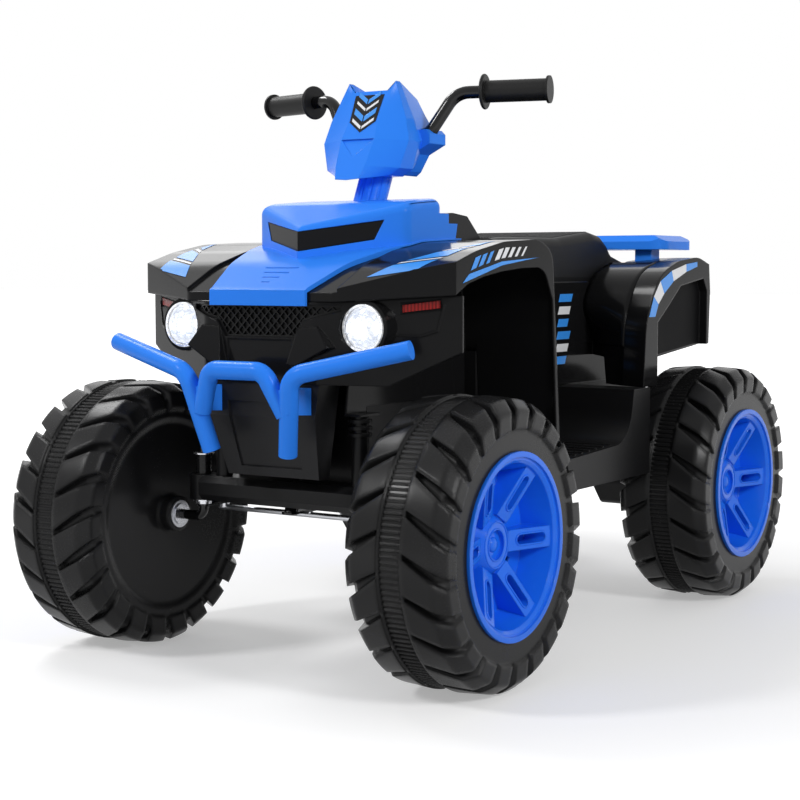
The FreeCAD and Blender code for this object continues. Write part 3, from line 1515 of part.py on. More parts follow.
dash_foot_y = seat_front_y - gap
dash_slope = math.degrees(math.atan2(dash_knee_z - dash_foot_z, dash_foot_y - dash_knee_y))


def box(x_half, y_half, low, high):
    return Part.makeBox(2 * x_half, 2 * y_half, high - low, Vec(-x_half, -y_half, low))


def dash_panel():
    def space(inset):
        return prism("side", [(dash_front_y + inset, dash_low_z - inset),
                              (dash_front_y + inset, dash_front_z - inset, dash_round),
                              (dash_top_y, dash_top_z - inset, 4 * dash_round),
                              (dash_knee_y - inset / 2, dash_knee_z - inset, dash_round / 2),
                              (dash_foot_y - inset, dash_foot_z - inset / 2),
                              (dash_foot_y - inset, base_z - inset),
                              (core_front_y + inset, base_z - inset),
                              (core_front_y + inset, dash_low_z - inset)],
                     inset - dash_half, dash_half - inset)
    housing = box(rocker_half + gap + bezel_wide, rocker_run + rocker_clear + bezel_wide, -rocker_depth,
                  bezel_proud)
    collar = rod(Vec(0, 0, -wall - over), Vec(0, 0, bezel_proud), button_radius + gap + bezel_wide)
    pocket = box(rocker_half + gap, rocker_run + rocker_clear, -2 * rocker_depth, rocker_depth)
    pin = rod(Vec(-rocker_half - rocker_pin_reach - gap, 0, -rocker_depth / 2),
              Vec(rocker_half + rocker_pin_reach + gap, 0, -rocker_depth / 2), rocker_pin_radius + fit)
    hole = rod(Vec(0, 0, -rocker_depth), Vec(0, 0, rocker_depth), button_radius + gap)
    shell = space(0).cut(space(wall))
    shell = joined(shell, on_dash(collar, 0), *[on_dash(housing, side * rocker_x) for side in (-1, 1)])
    return shell.cut([on_dash(hole, 0)] + [on_dash(cut, side * rocker_x) for side in (-1,
                                                                                      1) for cut in (pocket,
                                                                                                     pin)])


def power_button():
    cap = rod(Vec(0, 0, button_proud - button_height), Vec(0, 0, button_proud), button_radius)
    dish = Part.makeSphere(4 * button_radius, Vec(0, 0, button_proud + 4 * button_radius - bezel_proud / 2))
    return on_dash(cap.cut(dish), 0)


def rocker(side):
    """Rocker switch with a shallow V on top and a pivot pin."""
    body = prism("side", [(-rocker_run, gap - rocker_depth), (-rocker_run, rocker_proud),
                          (0, rocker_proud / 3),
                          (rocker_run, rocker_proud), (rocker_run, gap - rocker_depth)], -rocker_half,
                          rocker_half)
    pin = rod(Vec(-rocker_half - rocker_pin_reach, 0, -rocker_depth / 2),
              Vec(rocker_half + rocker_pin_reach, 0, -rocker_depth / 2), rocker_pin_radius)
    return on_dash(joined(body, pin), side * rocker_x)


def pedal():
    """Tread plate with ribs on a hinge pin."""
    plate = prism("side", [(-pedal_length, -pedal_thick, pedal_thick / 3),
                           (-pedal_length, 0, pedal_thick / 3),
                           (0, 0), (0, -pedal_thick)], -pedal_half, pedal_half)
    pitch = pedal_length / (pedal_rib_count + 2)
    places = [-pitch * (i + 1.5) for i in range(pedal_rib_count)]
    ribs = [prism("side", [(y - pedal_rib, -pedal_rib), (y, pedal_rib),
                           (y + pedal_rib, -pedal_rib)], pedal_rib - pedal_half, pedal_half - pedal_rib)
            for y in places]
    knuckle_bar = rod(Vec(-pedal_half, 0, -pedal_thick / 2), Vec(pedal_half, 0, -pedal_thick / 2),
                      pedal_thick / 2 + pedal_rib)
    shape = joined(plate, knuckle_bar, *ribs)
    shape = shifted(shape, 0, 0, pedal_thick / 2)
    shape.rotate(Vec(), Vec(1, 0, 0), -pedal_tilt)
    return joined(shifted(shape, -pedal_mid_x, pedal_hinge_y, pedal_hinge_z), pedal_pin(0))


def rear_rack():
    """Carrier with two raised halves, a dip in the middle, long slots and two posts."""
    plan = half_outline([(rack_half, rack_front_y, rack_corner), (rack_half, rack_back_y, rack_corner)])
    dip_z = rack_high_z - rack_dip
    face = prism("front", half_outline([(rack_half, rack_low_z), (rack_half, rack_high_z - rack_chamfer),
                                        (rack_half - 2 * rack_chamfer, rack_high_z),
                                        (rack_dip_half + rack_dip_slope, rack_high_z),
                                        (rack_dip_half, dip_z)]),
                 rack_front_y - over, rack_back_y + over)
    side = prism("side", [(rack_front_y, rack_low_z), (rack_front_y, rack_high_z - rack_chamfer),
                          (rack_front_y + rack_chamfer, rack_high_z),
                          (rack_back_y - rack_chamfer, rack_high_z),
                          (rack_back_y, rack_high_z - rack_chamfer), (rack_back_y, rack_low_z)], -rack_half,
                          rack_half)
    body = prism("plan", plan, rack_low_z, rack_high_z).common(face).common(side)
    mid_y = (rack_front_y + rack_back_y) / 2
    slots = []
    for i in range(rack_slot_count):
        x = (i - (rack_slot_count - 1) / 2) * rack_slot_pitch
        slots.append(prism("plan", [(x - rack_slot_half, mid_y - rack_slot_run / 2,
                                     rack_slot_half * round_share),
                                    (x + rack_slot_half, mid_y - rack_slot_run / 2,
                                     rack_slot_half * round_share),
                                    (x + rack_slot_half, mid_y + rack_slot_run / 2,
                                     rack_slot_half * round_share),
                                    (x - rack_slot_half, mid_y + rack_slot_run / 2,
                                     rack_slot_half * round_share)],
                           dip_z - rack_slot_cut, rack_high_z + over))
    post = prism("plan", [(post_inner_x, rack_post_front_y), (post_outer_x, rack_post_front_y),
                          (post_outer_x, rack_post_back_y), (post_inner_x, rack_post_back_y)],
                 rear_knee_z, rack_low_z)
    post = post.cut(rear_fender_block(0, core_rear_half, rear_fender_half, [(rear_tail_y, seam_z)]))
    screws = [rod(Vec(x, y, rack_high_z - depth), Vec(x, y, rack_high_z + over), radius + gap) for x,
              y in screw_places()
              for depth, radius in ((screw_length + over, screw_radius), (screw_head, screw_head_radius))]
    return joined(body.cut(slots), post, mirrored(post)).cut(screws)


def screw_places():
    mid_y = (rack_post_front_y + rack_post_back_y) / 2
    mid_x = (post_inner_x + post_outer_x) / 2
    step = screw_head_radius * 3 / 2
    return [(side * x, mid_y) for side in (-1, 1) for x in (mid_x - step, mid_x + step)]


def rack_screws():
    screws = []
    for x, y in screw_places():
        shank = rod(Vec(x, y, rack_high_z - screw_length), Vec(x, y, rack_high_z - screw_head), screw_radius)
        head = rod(Vec(x, y, rack_high_z - screw_head), Vec(x, y, rack_high_z), screw_head_radius)
        screws.append(joined(shank, head))
    return Part.makeCompound(screws)


# Drive and electrics

def gearbox():
    corners = [(motor_y - motor_radius - wall, motor_z + motor_radius + wall, motor_radius),
               (motor_y + motor_radius, motor_z + motor_radius + wall, motor_radius),
               (rear_axle_y + dog_radius + wall, axle_z + dog_radius, motor_radius),
               (rear_axle_y + dog_radius + wall, axle_z - dog_radius - wall, motor_radius),
               (rear_axle_y - dog_radius, axle_z - dog_radius - wall, motor_radius),
               (motor_y - motor_radius - wall, axle_z, motor_radius)]
    body = prism("side", corners, gearbox_inner_x, gearbox_outer_x)
    axle = rod(Vec(gearbox_inner_x, rear_axle_y, axle_z), Vec(gearbox_outer_x, rear_axle_y, axle_z),
               axle_radius + fit)
    return body.cut(axle)


def motor():
    start = Vec(gearbox_inner_x, motor_y, motor_z)
    can = rod(start - Vec(motor_length, 0, 0), start, motor_radius)
    boss = rod(start - Vec(motor_length + motor_boss, 0, 0), start - Vec(motor_length, 0, 0),
               motor_boss_radius)
    return joined(can, boss)


def rear_axle():
    return rod(Vec(-axle_end_x, rear_axle_y, axle_z), Vec(axle_end_x, rear_axle_y, axle_z), axle_radius)


def battery():
    floor = tub_low_z + wall
    case = Part.makeBox(battery_width, battery_length, battery_height,
                        Vec(-battery_width / 2, battery_front_y, floor))
    top = floor + battery_height
    mid_y = battery_front_y + terminal_radius * 3
    posts = [rod(Vec(side * terminal_pitch / 2, mid_y, top),
                 Vec(side * terminal_pitch / 2, mid_y, top + terminal_height),
                 terminal_radius) for side in (-1, 1)]
    return joined(case, *posts)


def battery_strap():
    floor = tub_low_z + wall
    half, top = battery_width / 2 + gap, floor + battery_height + gap
    mid_y = battery_front_y + battery_length / 2
    return prism("front", half_outline([(half, floor), (half + strap_width, floor),
                                        (half + strap_width, floor + strap_thick),
                                        (half + strap_thick, floor + strap_thick),
                                        (half + strap_thick, top + strap_thick)]),
                 mid_y - strap_width / 2, mid_y + strap_width / 2).cut(
        Part.makeBox(2 * half, battery_length, top - floor, Vec(-half, battery_front_y, floor)))


def control_box():
    floor = tub_low_z + wall
    case = Part.makeBox(control_width, control_length, control_height,
                        Vec(-control_width / 2, control_front_y, floor))
    foot = Part.makeBox(control_width + 2 * control_flange, control_length / 3, control_flange_thick,
                        Vec(-control_width / 2 - control_flange, control_front_y + control_length / 3,
                            floor))
    return joined(case, foot)


def charge_socket():
    shape = spin([(0, socket_bore), (0, socket_radius), (socket_depth, socket_radius), (socket_depth, 0),
                  (socket_depth - wall, 0), (socket_depth - wall, socket_bore)])
    flange = spin([(-socket_flange, socket_bore), (-socket_flange, socket_flange_radius),
                   (0, socket_flange_radius),
                   (0, socket_bore)])
    return shifted(joined(shape, flange), -core_rear_half, socket_y, socket_z)


def build():
    """Every node of the vehicle by name."""
    nodes = {}
    wheel = {"tyre": tyre(), "rim": rim()}
    front, rear = dict(wheel, wheel_bush=wheel_bush()), dict(wheel, drive_dog=drive_dog())
    for end, axle_y, kit in (("front", front_axle_y, front), ("rear", rear_axle_y, rear)):
        for hand, side in (("left", 1), ("right", -1)):
            for name, shape in kit.items():
                nodes["_".join((name, end, hand))] = on_wheel(shape, side, axle_y)
    paired = {"knuckle": knuckle(), "knuckle_hardware": knuckle_hardware(), "grip": grip(),
              "gearbox": gearbox(),
              "motor": motor(), "headlight_bowl": headlight_bowl(), "headlight_lens": headlight_lens()}
    for name, shape in paired.items():
        nodes[name + "_left"] = shape
        nodes[name + "_right"] = mirrored(shape)
    groups = {"rear_axle_nuts": axle_nut(rear_axle_y), "headlight_leds": [headlight_led()],
              "side_markers": [side_marker()]}
    for name, shapes in groups.items():
        nodes[name] = Part.makeCompound(shapes + [mirrored(shape) for shape in shapes])
    nodes["direction_switch"] = rocker(1)
    nodes["speed_switch"] = rocker(-1)
    nodes["handlebar"] = handlebar_bar(bar_radius)
    for maker in (front_axle_beam, tie_rod, steering_column, column_bush, column_sleeve, bar_cover_front,
                  bar_cover_rear, front_body, hood, hood_scoop, front_fascia, grille, skid_plate, bumper,
                  chassis_tub, rear_body, rear_cover, seat, dash_panel, power_button, pedal, rear_rack,
                  rack_screws,
                  rear_axle, battery, battery_strap, control_box, charge_socket):
        nodes[maker.__name__] = maker()
    return nodes


os.makedirs("parts", exist_ok=True)
for name, shape in build().items():
    shape.exportStep("parts/" + name + ".step")
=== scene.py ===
"""Kids quad bike: finishes, ribs, rim trim, stickers, fender shoulders and a plain studio."""
import math

import bmesh
import bpy
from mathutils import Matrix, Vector
from mathutils.bvhtree import BVHTree


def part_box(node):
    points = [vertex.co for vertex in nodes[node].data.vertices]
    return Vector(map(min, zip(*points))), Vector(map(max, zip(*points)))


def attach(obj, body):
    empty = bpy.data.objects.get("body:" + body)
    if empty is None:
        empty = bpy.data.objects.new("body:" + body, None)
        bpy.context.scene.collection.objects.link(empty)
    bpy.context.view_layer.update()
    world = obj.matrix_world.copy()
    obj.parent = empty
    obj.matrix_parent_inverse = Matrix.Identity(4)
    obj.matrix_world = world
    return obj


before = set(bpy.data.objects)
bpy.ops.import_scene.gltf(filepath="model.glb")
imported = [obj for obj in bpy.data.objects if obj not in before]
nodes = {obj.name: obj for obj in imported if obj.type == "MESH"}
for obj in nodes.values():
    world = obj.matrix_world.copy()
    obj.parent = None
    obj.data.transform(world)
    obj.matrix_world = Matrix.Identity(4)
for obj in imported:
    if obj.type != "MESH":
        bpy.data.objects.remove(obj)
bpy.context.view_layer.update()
hands = {1: "left", -1: "right"}
wheels = ("front_left", "front_right", "rear_left", "rear_right")


def add_object(name, data):
    made = bpy.data.objects.new(name, data)
    bpy.context.scene.collection.objects.link(made)
    return made


# Shader maths

class Sock:
    """A shader socket; operators on it add Math nodes to its tree."""

    def __init__(self, shading, socket):
        self.shading = shading
        self.socket = socket

    def maths(self, operation, first, second):
        return self.shading.node("ShaderNodeMath", {"operation": operation}, {0: first, 1: second})

    def __add__(self, other):
        return self.maths("ADD", self, other)

    def __radd__(self, other):
        return self.maths("ADD", other, self)

    def __sub__(self, other):
        return self.maths("SUBTRACT", self, other)

    def __rsub__(self, other):
        return self.maths("SUBTRACT", other, self)

    def __mul__(self, other):
        return self.maths("MULTIPLY", self, other)

    def __rmul__(self, other):
        return self.maths("MULTIPLY", other, self)

    def above(self, edge):
        return self.maths("GREATER_THAN", self, edge)

    def below(self, edge):
        return self.maths("LESS_THAN", self, edge)


class Shading:
    """A shader node tree and the calls that fill it."""

    def __init__(self, tree):
        self.tree = tree
        self.tree.nodes.clear()

    def node(self, kind, settings, inputs, output=0):
        """Adds one node: its settings first, then the values or links of its sockets."""
        made = self.tree.nodes.new(kind)
        for key, value in settings.items():
            setattr(made, key, value)
        for key, value in inputs.items():
            if isinstance(value, Sock):
                self.tree.links.new(value.socket, made.inputs[key])
            else:
                made.inputs[key].default_value = value
        return Sock(self, made.outputs[output])

    def end(self, kind, shader):
        output = self.tree.nodes.new(kind)
        self.tree.links.new(shader.socket, output.inputs["Surface"])

    def shows_studio(self):
        """1 on the rays that show the white studio: from the camera, a gloss or a clear lens."""
        rays = self.tree.nodes.new("ShaderNodeLightPath")
        seen, shiny, through = (Sock(self, rays.outputs["Is %s Ray" % kind])
                                for kind in ("Camera", "Glossy", "Transmission"))
        return seen + shiny + through


soft_edge = 0.0008
soft_edge_samples = 4
noise_detail = 3.0
noise_middle = 0.5


class Finish(Shading):
    """A node material and the textures that it is made of."""

    def __init__(self, name):
        self.material = bpy.data.materials.new(name)
        self.material.use_nodes = True
        super().__init__(self.material.node_tree)

    def place(self):
        return self.node("ShaderNodeTexCoord", {}, {}, "Object")

    def facing(self):
        return self.node("ShaderNodeTexCoord", {}, {}, "Normal")

    def part(self, vector, axis):
        return self.node("ShaderNodeSeparateXYZ", {}, {0: vector}, "XYZ".index(axis))

    def noise(self, scale, detail=noise_detail, place=None):
        return self.node("ShaderNodeTexNoise", {}, {
            "Vector": place or self.place(), "Scale": scale, "Detail": detail}, "Fac")

    def mix(self, share, first, second):
        """Blends two colours; sockets 6 and 7 of a Mix node hold them."""
        return self.node("ShaderNodeMix", {"data_type": "RGBA"}, {0: share, 6: first, 7: second}, 2)

    def bump(self, height, strength, depth, edge=soft_edge):
        """A fine relief on edges that are softened by a small radius."""
        soft = self.node("ShaderNodeBevel", {"samples": soft_edge_samples}, {"Radius": edge})
        return self.node("ShaderNodeBump", {}, {
            "Height": height, "Strength": strength, "Distance": depth, "Normal": soft})

    def surface(self, inputs):
        self.end("ShaderNodeOutputMaterial", self.node("ShaderNodeBsdfPrincipled", {}, inputs))
        return self.material


def rgb(red, green, blue):
    return (red, green, blue, 1.0)


def shade(colour, share):
    return rgb(*(min(1.0, part * share) for part in colour[:3]))


white = rgb(1, 1, 1)
no_light = rgb(0, 0, 0)


# Plastics and metals

cloud_scale = 9.0
cloud_polish_share, grain_polish_share = 0.35, 0.25
grain_strength = 0.6
scratch_stretch = (0.08, 1.0, 1.0)
scratch_shade_share, scratch_polish_share = 0.8, 0.6
scratch_strength = 0.3


def moulded(name, colour, rough, gloss, grain, depth, cloud=0.1, edge=soft_edge):
    """Moulded plastic: faint cloudy colour, uneven polish, a fine grain and softened edges."""
    finish = Finish(name)
    cloudy = finish.noise(cloud_scale)
    grainy = finish.noise(grain)
    uneven = ((cloudy - noise_middle) * (rough * cloud_polish_share)
              + (grainy - noise_middle) * (rough * grain_polish_share))
    return finish.surface({
        "Base Color": finish.mix(cloudy, shade(colour, 1 - cloud), shade(colour, 1 + cloud)),
        "Roughness": rough + uneven,
        "Normal": finish.bump(grainy, grain_strength, depth, edge),
        "Specular IOR Level": gloss,
    })


def metal(name, colour, rough, scale, depth):
    """Plated metal with fine drawn scratches."""
    finish = Finish(name)
    stretched = finish.node("ShaderNodeMapping", {}, {"Vector": finish.place(), "Scale": scratch_stretch})
    scratch = finish.noise(scale, place=stretched)
    return finish.surface({
        "Base Color": finish.mix(scratch, shade(colour, scratch_shade_share), colour),
        "Metallic": 1.0,
        "Roughness": rough + (scratch - noise_middle) * (rough * scratch_polish_share),
        "Normal": finish.bump(scratch, scratch_strength, depth),
    })


blue_plastic = moulded("blue_plastic", rgb(0.03, 0.232, 0.92), rough=0.25, gloss=0.08,
                       grain=900.0, depth=0.00005, cloud=0.04, edge=0.0015)
rim_plastic = moulded("rim_plastic", rgb(0.011, 0.158, 0.84), rough=0.13, gloss=0.2,
                      grain=700.0, depth=0.00003, cloud=0.06, edge=0.002)
gloss_black = moulded("gloss_black", rgb(0.008, 0.008, 0.0085), rough=0.14, gloss=0.08,
                      grain=500.0, depth=0.00002, edge=0.003)
satin_black = moulded("satin_black", rgb(0.007, 0.007, 0.0075), rough=0.33, gloss=0.12,
                      grain=1400.0, depth=0.0001)
chin_grey = moulded("chin_grey", rgb(0.013, 0.013, 0.014), rough=0.42, gloss=0.16,
                    grain=1400.0, depth=0.00012)
tyre_plastic = moulded("tyre_plastic", rgb(0.012, 0.012, 0.0125), rough=0.26, gloss=0.15,
                       grain=380.0, depth=0.00006, cloud=0.16, edge=0.007)
seat_grain = moulded("seat_grain", rgb(0.007, 0.007, 0.0075), rough=0.45, gloss=0.09,
                     grain=1100.0, depth=0.0002)
grip_rubber = moulded("grip_rubber", rgb(0.006, 0.006, 0.006), rough=0.45, gloss=0.2,
                      grain=1300.0, depth=0.0001)
zinc = metal("zinc", rgb(0.62, 0.63, 0.66), rough=0.3, scale=260.0, depth=0.00004)
black_enamel = moulded("black_enamel", rgb(0.003, 0.003, 0.0035), rough=0.12, gloss=0.3,
                       grain=300.0, depth=0.00001)
nylon = moulded("nylon", rgb(0.62, 0.61, 0.57), rough=0.45, gloss=0.4, grain=600.0, depth=0.00004)
button_grey = moulded("button_grey", rgb(0.2, 0.21, 0.23), rough=0.35, gloss=0.5,
                      grain=800.0, depth=0.00004)
battery_grey = moulded("battery_grey", rgb(0.06, 0.06, 0.065), rough=0.5, gloss=0.4,
                       grain=900.0, depth=0.00008)
film_blue = moulded("film_blue", rgb(0.045, 0.3, 0.86), rough=0.25, gloss=0.3,
                    grain=500.0, depth=0.00001, cloud=0.03)
film_white = moulded("film_white", rgb(0.8, 0.81, 0.83), rough=0.3, gloss=0.3,
                     grain=500.0, depth=0.00001, cloud=0.02)
# A near-black, dull finish for the sheet laid in the rear fender recess as painted shade.
liner_black = moulded("liner_black", rgb(0.005, 0.005, 0.0055), rough=0.5, gloss=0.03,
                      grain=1200.0, depth=0.00008)
film_black = moulded("film_black", rgb(0.004, 0.004, 0.005), rough=0.2, gloss=0.22,
                     grain=500.0, depth=0.00001)


# Hardware and lamps

sleeve_low, sleeve_high = 0.2165, 0.2425
hardware_rough, hardware_polish = 0.26, 0.14
bowl_back_edge = 0.02
bowl_rough, bowl_polish = 0.12, 0.2
dark_paint = rgb(0.006, 0.006, 0.0065)


def coated_hardware():
    """Zinc washers and pins; the tall sleeves above the axle are black."""
    finish = Finish("coated_hardware")
    height = finish.part(finish.place(), "Z")
    sleeve = height.above(sleeve_low) * height.below(sleeve_high)
    scratch = finish.noise(scale=300.0)
    return finish.surface({
        "Base Color": finish.mix(sleeve, rgb(0.6, 0.61, 0.64), dark_paint),
        "Metallic": 1.0 - sleeve,
        "Roughness": hardware_rough + (scratch - noise_middle) * hardware_polish,
        "Specular IOR Level": 0.22,
        "Normal": finish.bump(scratch, scratch_strength, depth=0.00003, edge=0.0004),
    })


def clear_lens():
    """Clear plastic with a slight ripple."""
    finish = Finish("clear_lens")
    ripple = finish.noise(scale=160.0, detail=1.0)
    return finish.surface({
        "Base Color": rgb(0.97, 0.98, 1.0),
        "Roughness": 0.05,
        "Transmission Weight": 1.0,
        "IOR": 1.45,
        "Normal": finish.bump(ripple, strength=0.2, depth=0.0002),
    })


def lit_lamp():
    """The diodes of a headlight, switched on."""
    finish = Finish("lit_lamp")
    glow = finish.noise(scale=300.0, detail=1.0)
    return finish.surface({
        "Base Color": rgb(0.9, 0.9, 0.9),
        "Emission Color": finish.mix(glow, rgb(0.9, 0.95, 1), white),
        "Emission Strength": 4.0,
    })


def reflector_painted_glow():
    """A silvered, faceted bowl whose back, towards the body, is dark; its front carries a painted glow,
    whiter at the middle of each facet, in place of the diodes' light that it reflects.
    """
    finish = Finish("reflector_painted_glow")
    facets = finish.node("ShaderNodeTexVoronoi", {}, {"Vector": finish.place(), "Scale": 190.0}, "Distance")
    back = finish.part(finish.facing(), "Y").above(bowl_back_edge)
    # Painted glow: the bowl's front gives off light of its own, standing in for the diodes' light that it
    # reflects.
    glow = finish.mix(facets, white, rgb(0.2, 0.22, 0.26))
    return finish.surface({
        "Base Color": finish.mix(back, rgb(0.6, 0.62, 0.66), dark_paint),
        "Metallic": 1.0 - back,
        "Roughness": bowl_rough + facets * bowl_polish,
        "Specular IOR Level": 0.12,
        "Normal": finish.bump(facets, strength=0.5, depth=0.0012),
        "Emission Color": finish.mix(back, glow, no_light),
        "Emission Strength": 0.55,
    })


def marker_lens():
    """Red ribbed plastic."""
    finish = Finish("marker_lens")
    ribs = finish.node("ShaderNodeTexWave", {"bands_direction": "X"}, {
        "Vector": finish.place(), "Scale": 90.0}, "Fac")
    return finish.surface({
        "Base Color": finish.mix(ribs, rgb(0.14, 0.004, 0.004), rgb(0.36, 0.014, 0.012)),
        "Roughness": 0.15,
        "Specular IOR Level": 0.16,
        "Normal": finish.bump(ribs, strength=0.4, depth=0.0004),
    })


def each(stem, ends):
    return tuple(stem + end for end in ends)


both = tuple(hands.values())
finishes = {
    blue_plastic: ("column_sleeve", "bar_cover_front", "bar_cover_rear", "hood", "bumper", "rear_rack"),
    rim_plastic: each("rim_", wheels),
    gloss_black: ("front_body", "front_fascia", "hood_scoop", "rear_body"),
    satin_black: ("front_axle_beam", "grille", "chassis_tub", "dash_panel", "pedal", "control_box",
                  "charge_socket", "rear_cover", "battery_strap") + each("gearbox_", both),
    chin_grey: ("skid_plate",),
    tyre_plastic: each("tyre_", wheels),
    seat_grain: ("seat",),
    grip_rubber: each("grip_", both),
    coated_hardware(): each("knuckle_hardware_", both),
    zinc: ("tie_rod", "rear_axle", "rear_axle_nuts", "rack_screws") + each("wheel_bush_front_", both)
          + each("motor_", both),
    black_enamel: ("steering_column", "handlebar") + each("knuckle_", both),
    nylon: ("column_bush",) + each("drive_dog_rear_", both),
    button_grey: ("power_button", "direction_switch", "speed_switch"),
    battery_grey: ("battery",),
    clear_lens(): each("headlight_lens_", both),
    lit_lamp(): ("headlight_leds",),
    reflector_painted_glow(): each("headlight_bowl_", both),
    marker_lens(): ("side_markers",),
}
for finish, names in finishes.items():
    for name in names:
        nodes[name].data.materials.clear()
        nodes[name].data.materials.append(finish)


# Repeated ribs and beads, made by Geometry Nodes

class Tree:
    """A Geometry Nodes tree and the calls that fill it."""

    def __init__(self, name, inputs):
        self.group = bpy.data.node_groups.new(name, "GeometryNodeTree")
        self.group.is_modifier = True
        sockets = self.group.interface
        self.keys = {}
        for label, kind in inputs.items():
            made = sockets.new_socket(name=label, in_out="INPUT", socket_type="NodeSocket" + kind)
            self.keys[label] = made.identifier
        sockets.new_socket(name="Ribs", in_out="OUTPUT", socket_type="NodeSocketGeometry")
        entry = self.group.nodes.new("NodeGroupInput")
        self.inputs = {label: entry.outputs[label] for label in inputs}

    def node(self, kind, settings, inputs, output=0):
        made = self.group.nodes.new(kind)
        for key, value in settings.items():
            setattr(made, key, value)
        for key, value in inputs.items():
            if isinstance(value, bpy.types.NodeSocket):
                self.group.links.new(value, made.inputs[key])
            else:
                made.inputs[key].default_value = value
        return made.outputs[output]

    def maths(self, operation, first, second=0.0):
        return self.node("ShaderNodeMath", {"operation": operation}, {0: first, 1: second})

    def vector(self, x, y, z):
        return self.node("ShaderNodeCombineXYZ", {}, {0: x, 1: y, 2: z})

    def moved(self, place, step):
        return self.node("ShaderNodeVectorMath", {"operation": "ADD"}, {0: place, 1: step})

    def index(self):
        return self.node("GeometryNodeInputIndex", {}, {})

    def ring(self, sides, radius):
        return self.node("GeometryNodeCurvePrimitiveCircle", {}, {"Resolution": sides, "Radius": radius})

    def join(self, parts):
        together = self.group.nodes.new("GeometryNodeJoinGeometry")
        for part in parts:
            self.group.links.new(part, together.inputs[0])
        return together.outputs[0]

    def finish(self, geometry):
        whole = self.node("GeometryNodeRealizeInstances", {}, {0: geometry})
        coloured = self.node("GeometryNodeSetMaterial", {}, {
            "Geometry": whole, "Material": self.inputs["Finish"]})
        leave = self.group.nodes.new("NodeGroupOutput")
        self.group.links.new(coloured, leave.inputs[0])

    def piece(self, name, values):
        """A plain mesh object from the tree with the given sizes."""
        holder = add_object(name + "_tree", bpy.data.meshes.new(name + "_tree"))
        modifier = holder.modifiers.new("ribs", "NODES")
        modifier.node_group = self.group
        for label, value in values.items():
            modifier[self.keys[label]] = value
        graph = bpy.context.evaluated_depsgraph_get()
        mesh = bpy.data.meshes.new_from_object(holder.evaluated_get(graph))
        bpy.data.objects.remove(holder)
        return add_object(name, mesh)


along_axle = (0.0, math.pi / 2, 0.0)
bar_sides = 8
bead_sides = 8
hub_ring_sides = 48
cap_segments, cap_rings = 24, 12
cap_shape = (1.0, 1.0, 0.5)
inner_ring_share = 2.0
slot_corner_steps = 8
slot_round_share = 0.499
slot_turn_share = 0.5
seat_bead_sides = 6
seat_ray_length = 1.0


def band_rib_tree():
    """Round bars set across a wheel's rolling band, all the way round the X axis."""
    tree = Tree("band_ribs", {"Count": "Int", "Radius": "Float", "Bar Radius": "Float",
                              "Bar Length": "Float", "Centre": "Vector", "Finish": "Material"})
    get = tree.inputs
    turn = tree.maths("MULTIPLY", tree.index(), tree.maths("DIVIDE", 2 * math.pi, get["Count"]))
    back = tree.maths("MULTIPLY", tree.maths("SINE", turn), tree.maths("MULTIPLY", get["Radius"], -1.0))
    up = tree.maths("MULTIPLY", tree.maths("COSINE", turn), get["Radius"])
    points = tree.node("GeometryNodePoints", {}, {
        "Count": get["Count"], "Position": tree.moved(tree.vector(0.0, back, up), get["Centre"])})
    bar = tree.node("GeometryNodeMeshCylinder", {}, {
        "Vertices": bar_sides, "Radius": get["Bar Radius"], "Depth": get["Bar Length"]})
    lying = tree.node("GeometryNodeTransform", {}, {"Geometry": bar, "Rotation": along_axle})
    tree.finish(tree.node("GeometryNodeInstanceOnPoints", {}, {
        "Points": points, "Instance": lying, "Rotation": tree.vector(turn, 0.0, 0.0)}))
    return tree


def seat_rib_tree():
    """Thin beads that run fore and aft over the seat."""
    tree = Tree("seat_ribs", {"Count": "Int", "Pitch": "Float", "Start": "Vector", "Stop": "Vector",
                              "Steps": "Int", "Bead Radius": "Float", "Seat": "Object",
                              "Finish": "Material"})
    get = tree.inputs
    line = tree.node("GeometryNodeCurvePrimitiveLine", {}, {"Start": get["Start"], "End": get["Stop"]})
    fine = tree.node("GeometryNodeResampleCurve", {}, {"Curve": line, "Count": get["Steps"]})
    sideways = tree.maths("MULTIPLY", tree.index(), get["Pitch"])
    points = tree.node("GeometryNodePoints", {}, {
        "Count": get["Count"], "Position": tree.vector(sideways, 0.0, 0.0)})
    rows = tree.node("GeometryNodeInstanceOnPoints", {}, {"Points": points, "Instance": fine})
    lines = tree.node("GeometryNodeRealizeInstances", {}, {0: rows})
    seat = tree.node("GeometryNodeObjectInfo", {"transform_space": "ORIGINAL"}, {
        "Object": get["Seat"]}, "Geometry")
    hit = tree.node("GeometryNodeRaycast", {}, {
        "Target Geometry": seat, "Ray Direction": (0.0, 0.0, -1.0), "Ray Length": seat_ray_length},
        "Hit Position")
    laid = tree.node("GeometryNodeSetPosition", {}, {"Geometry": lines, "Position": hit})
    tree.finish(tree.node("GeometryNodeCurveToMesh", {}, {
        "Curve": laid, "Profile Curve": tree.ring(seat_bead_sides, get["Bead Radius"]),
        "Fill Caps": True}))
    return tree


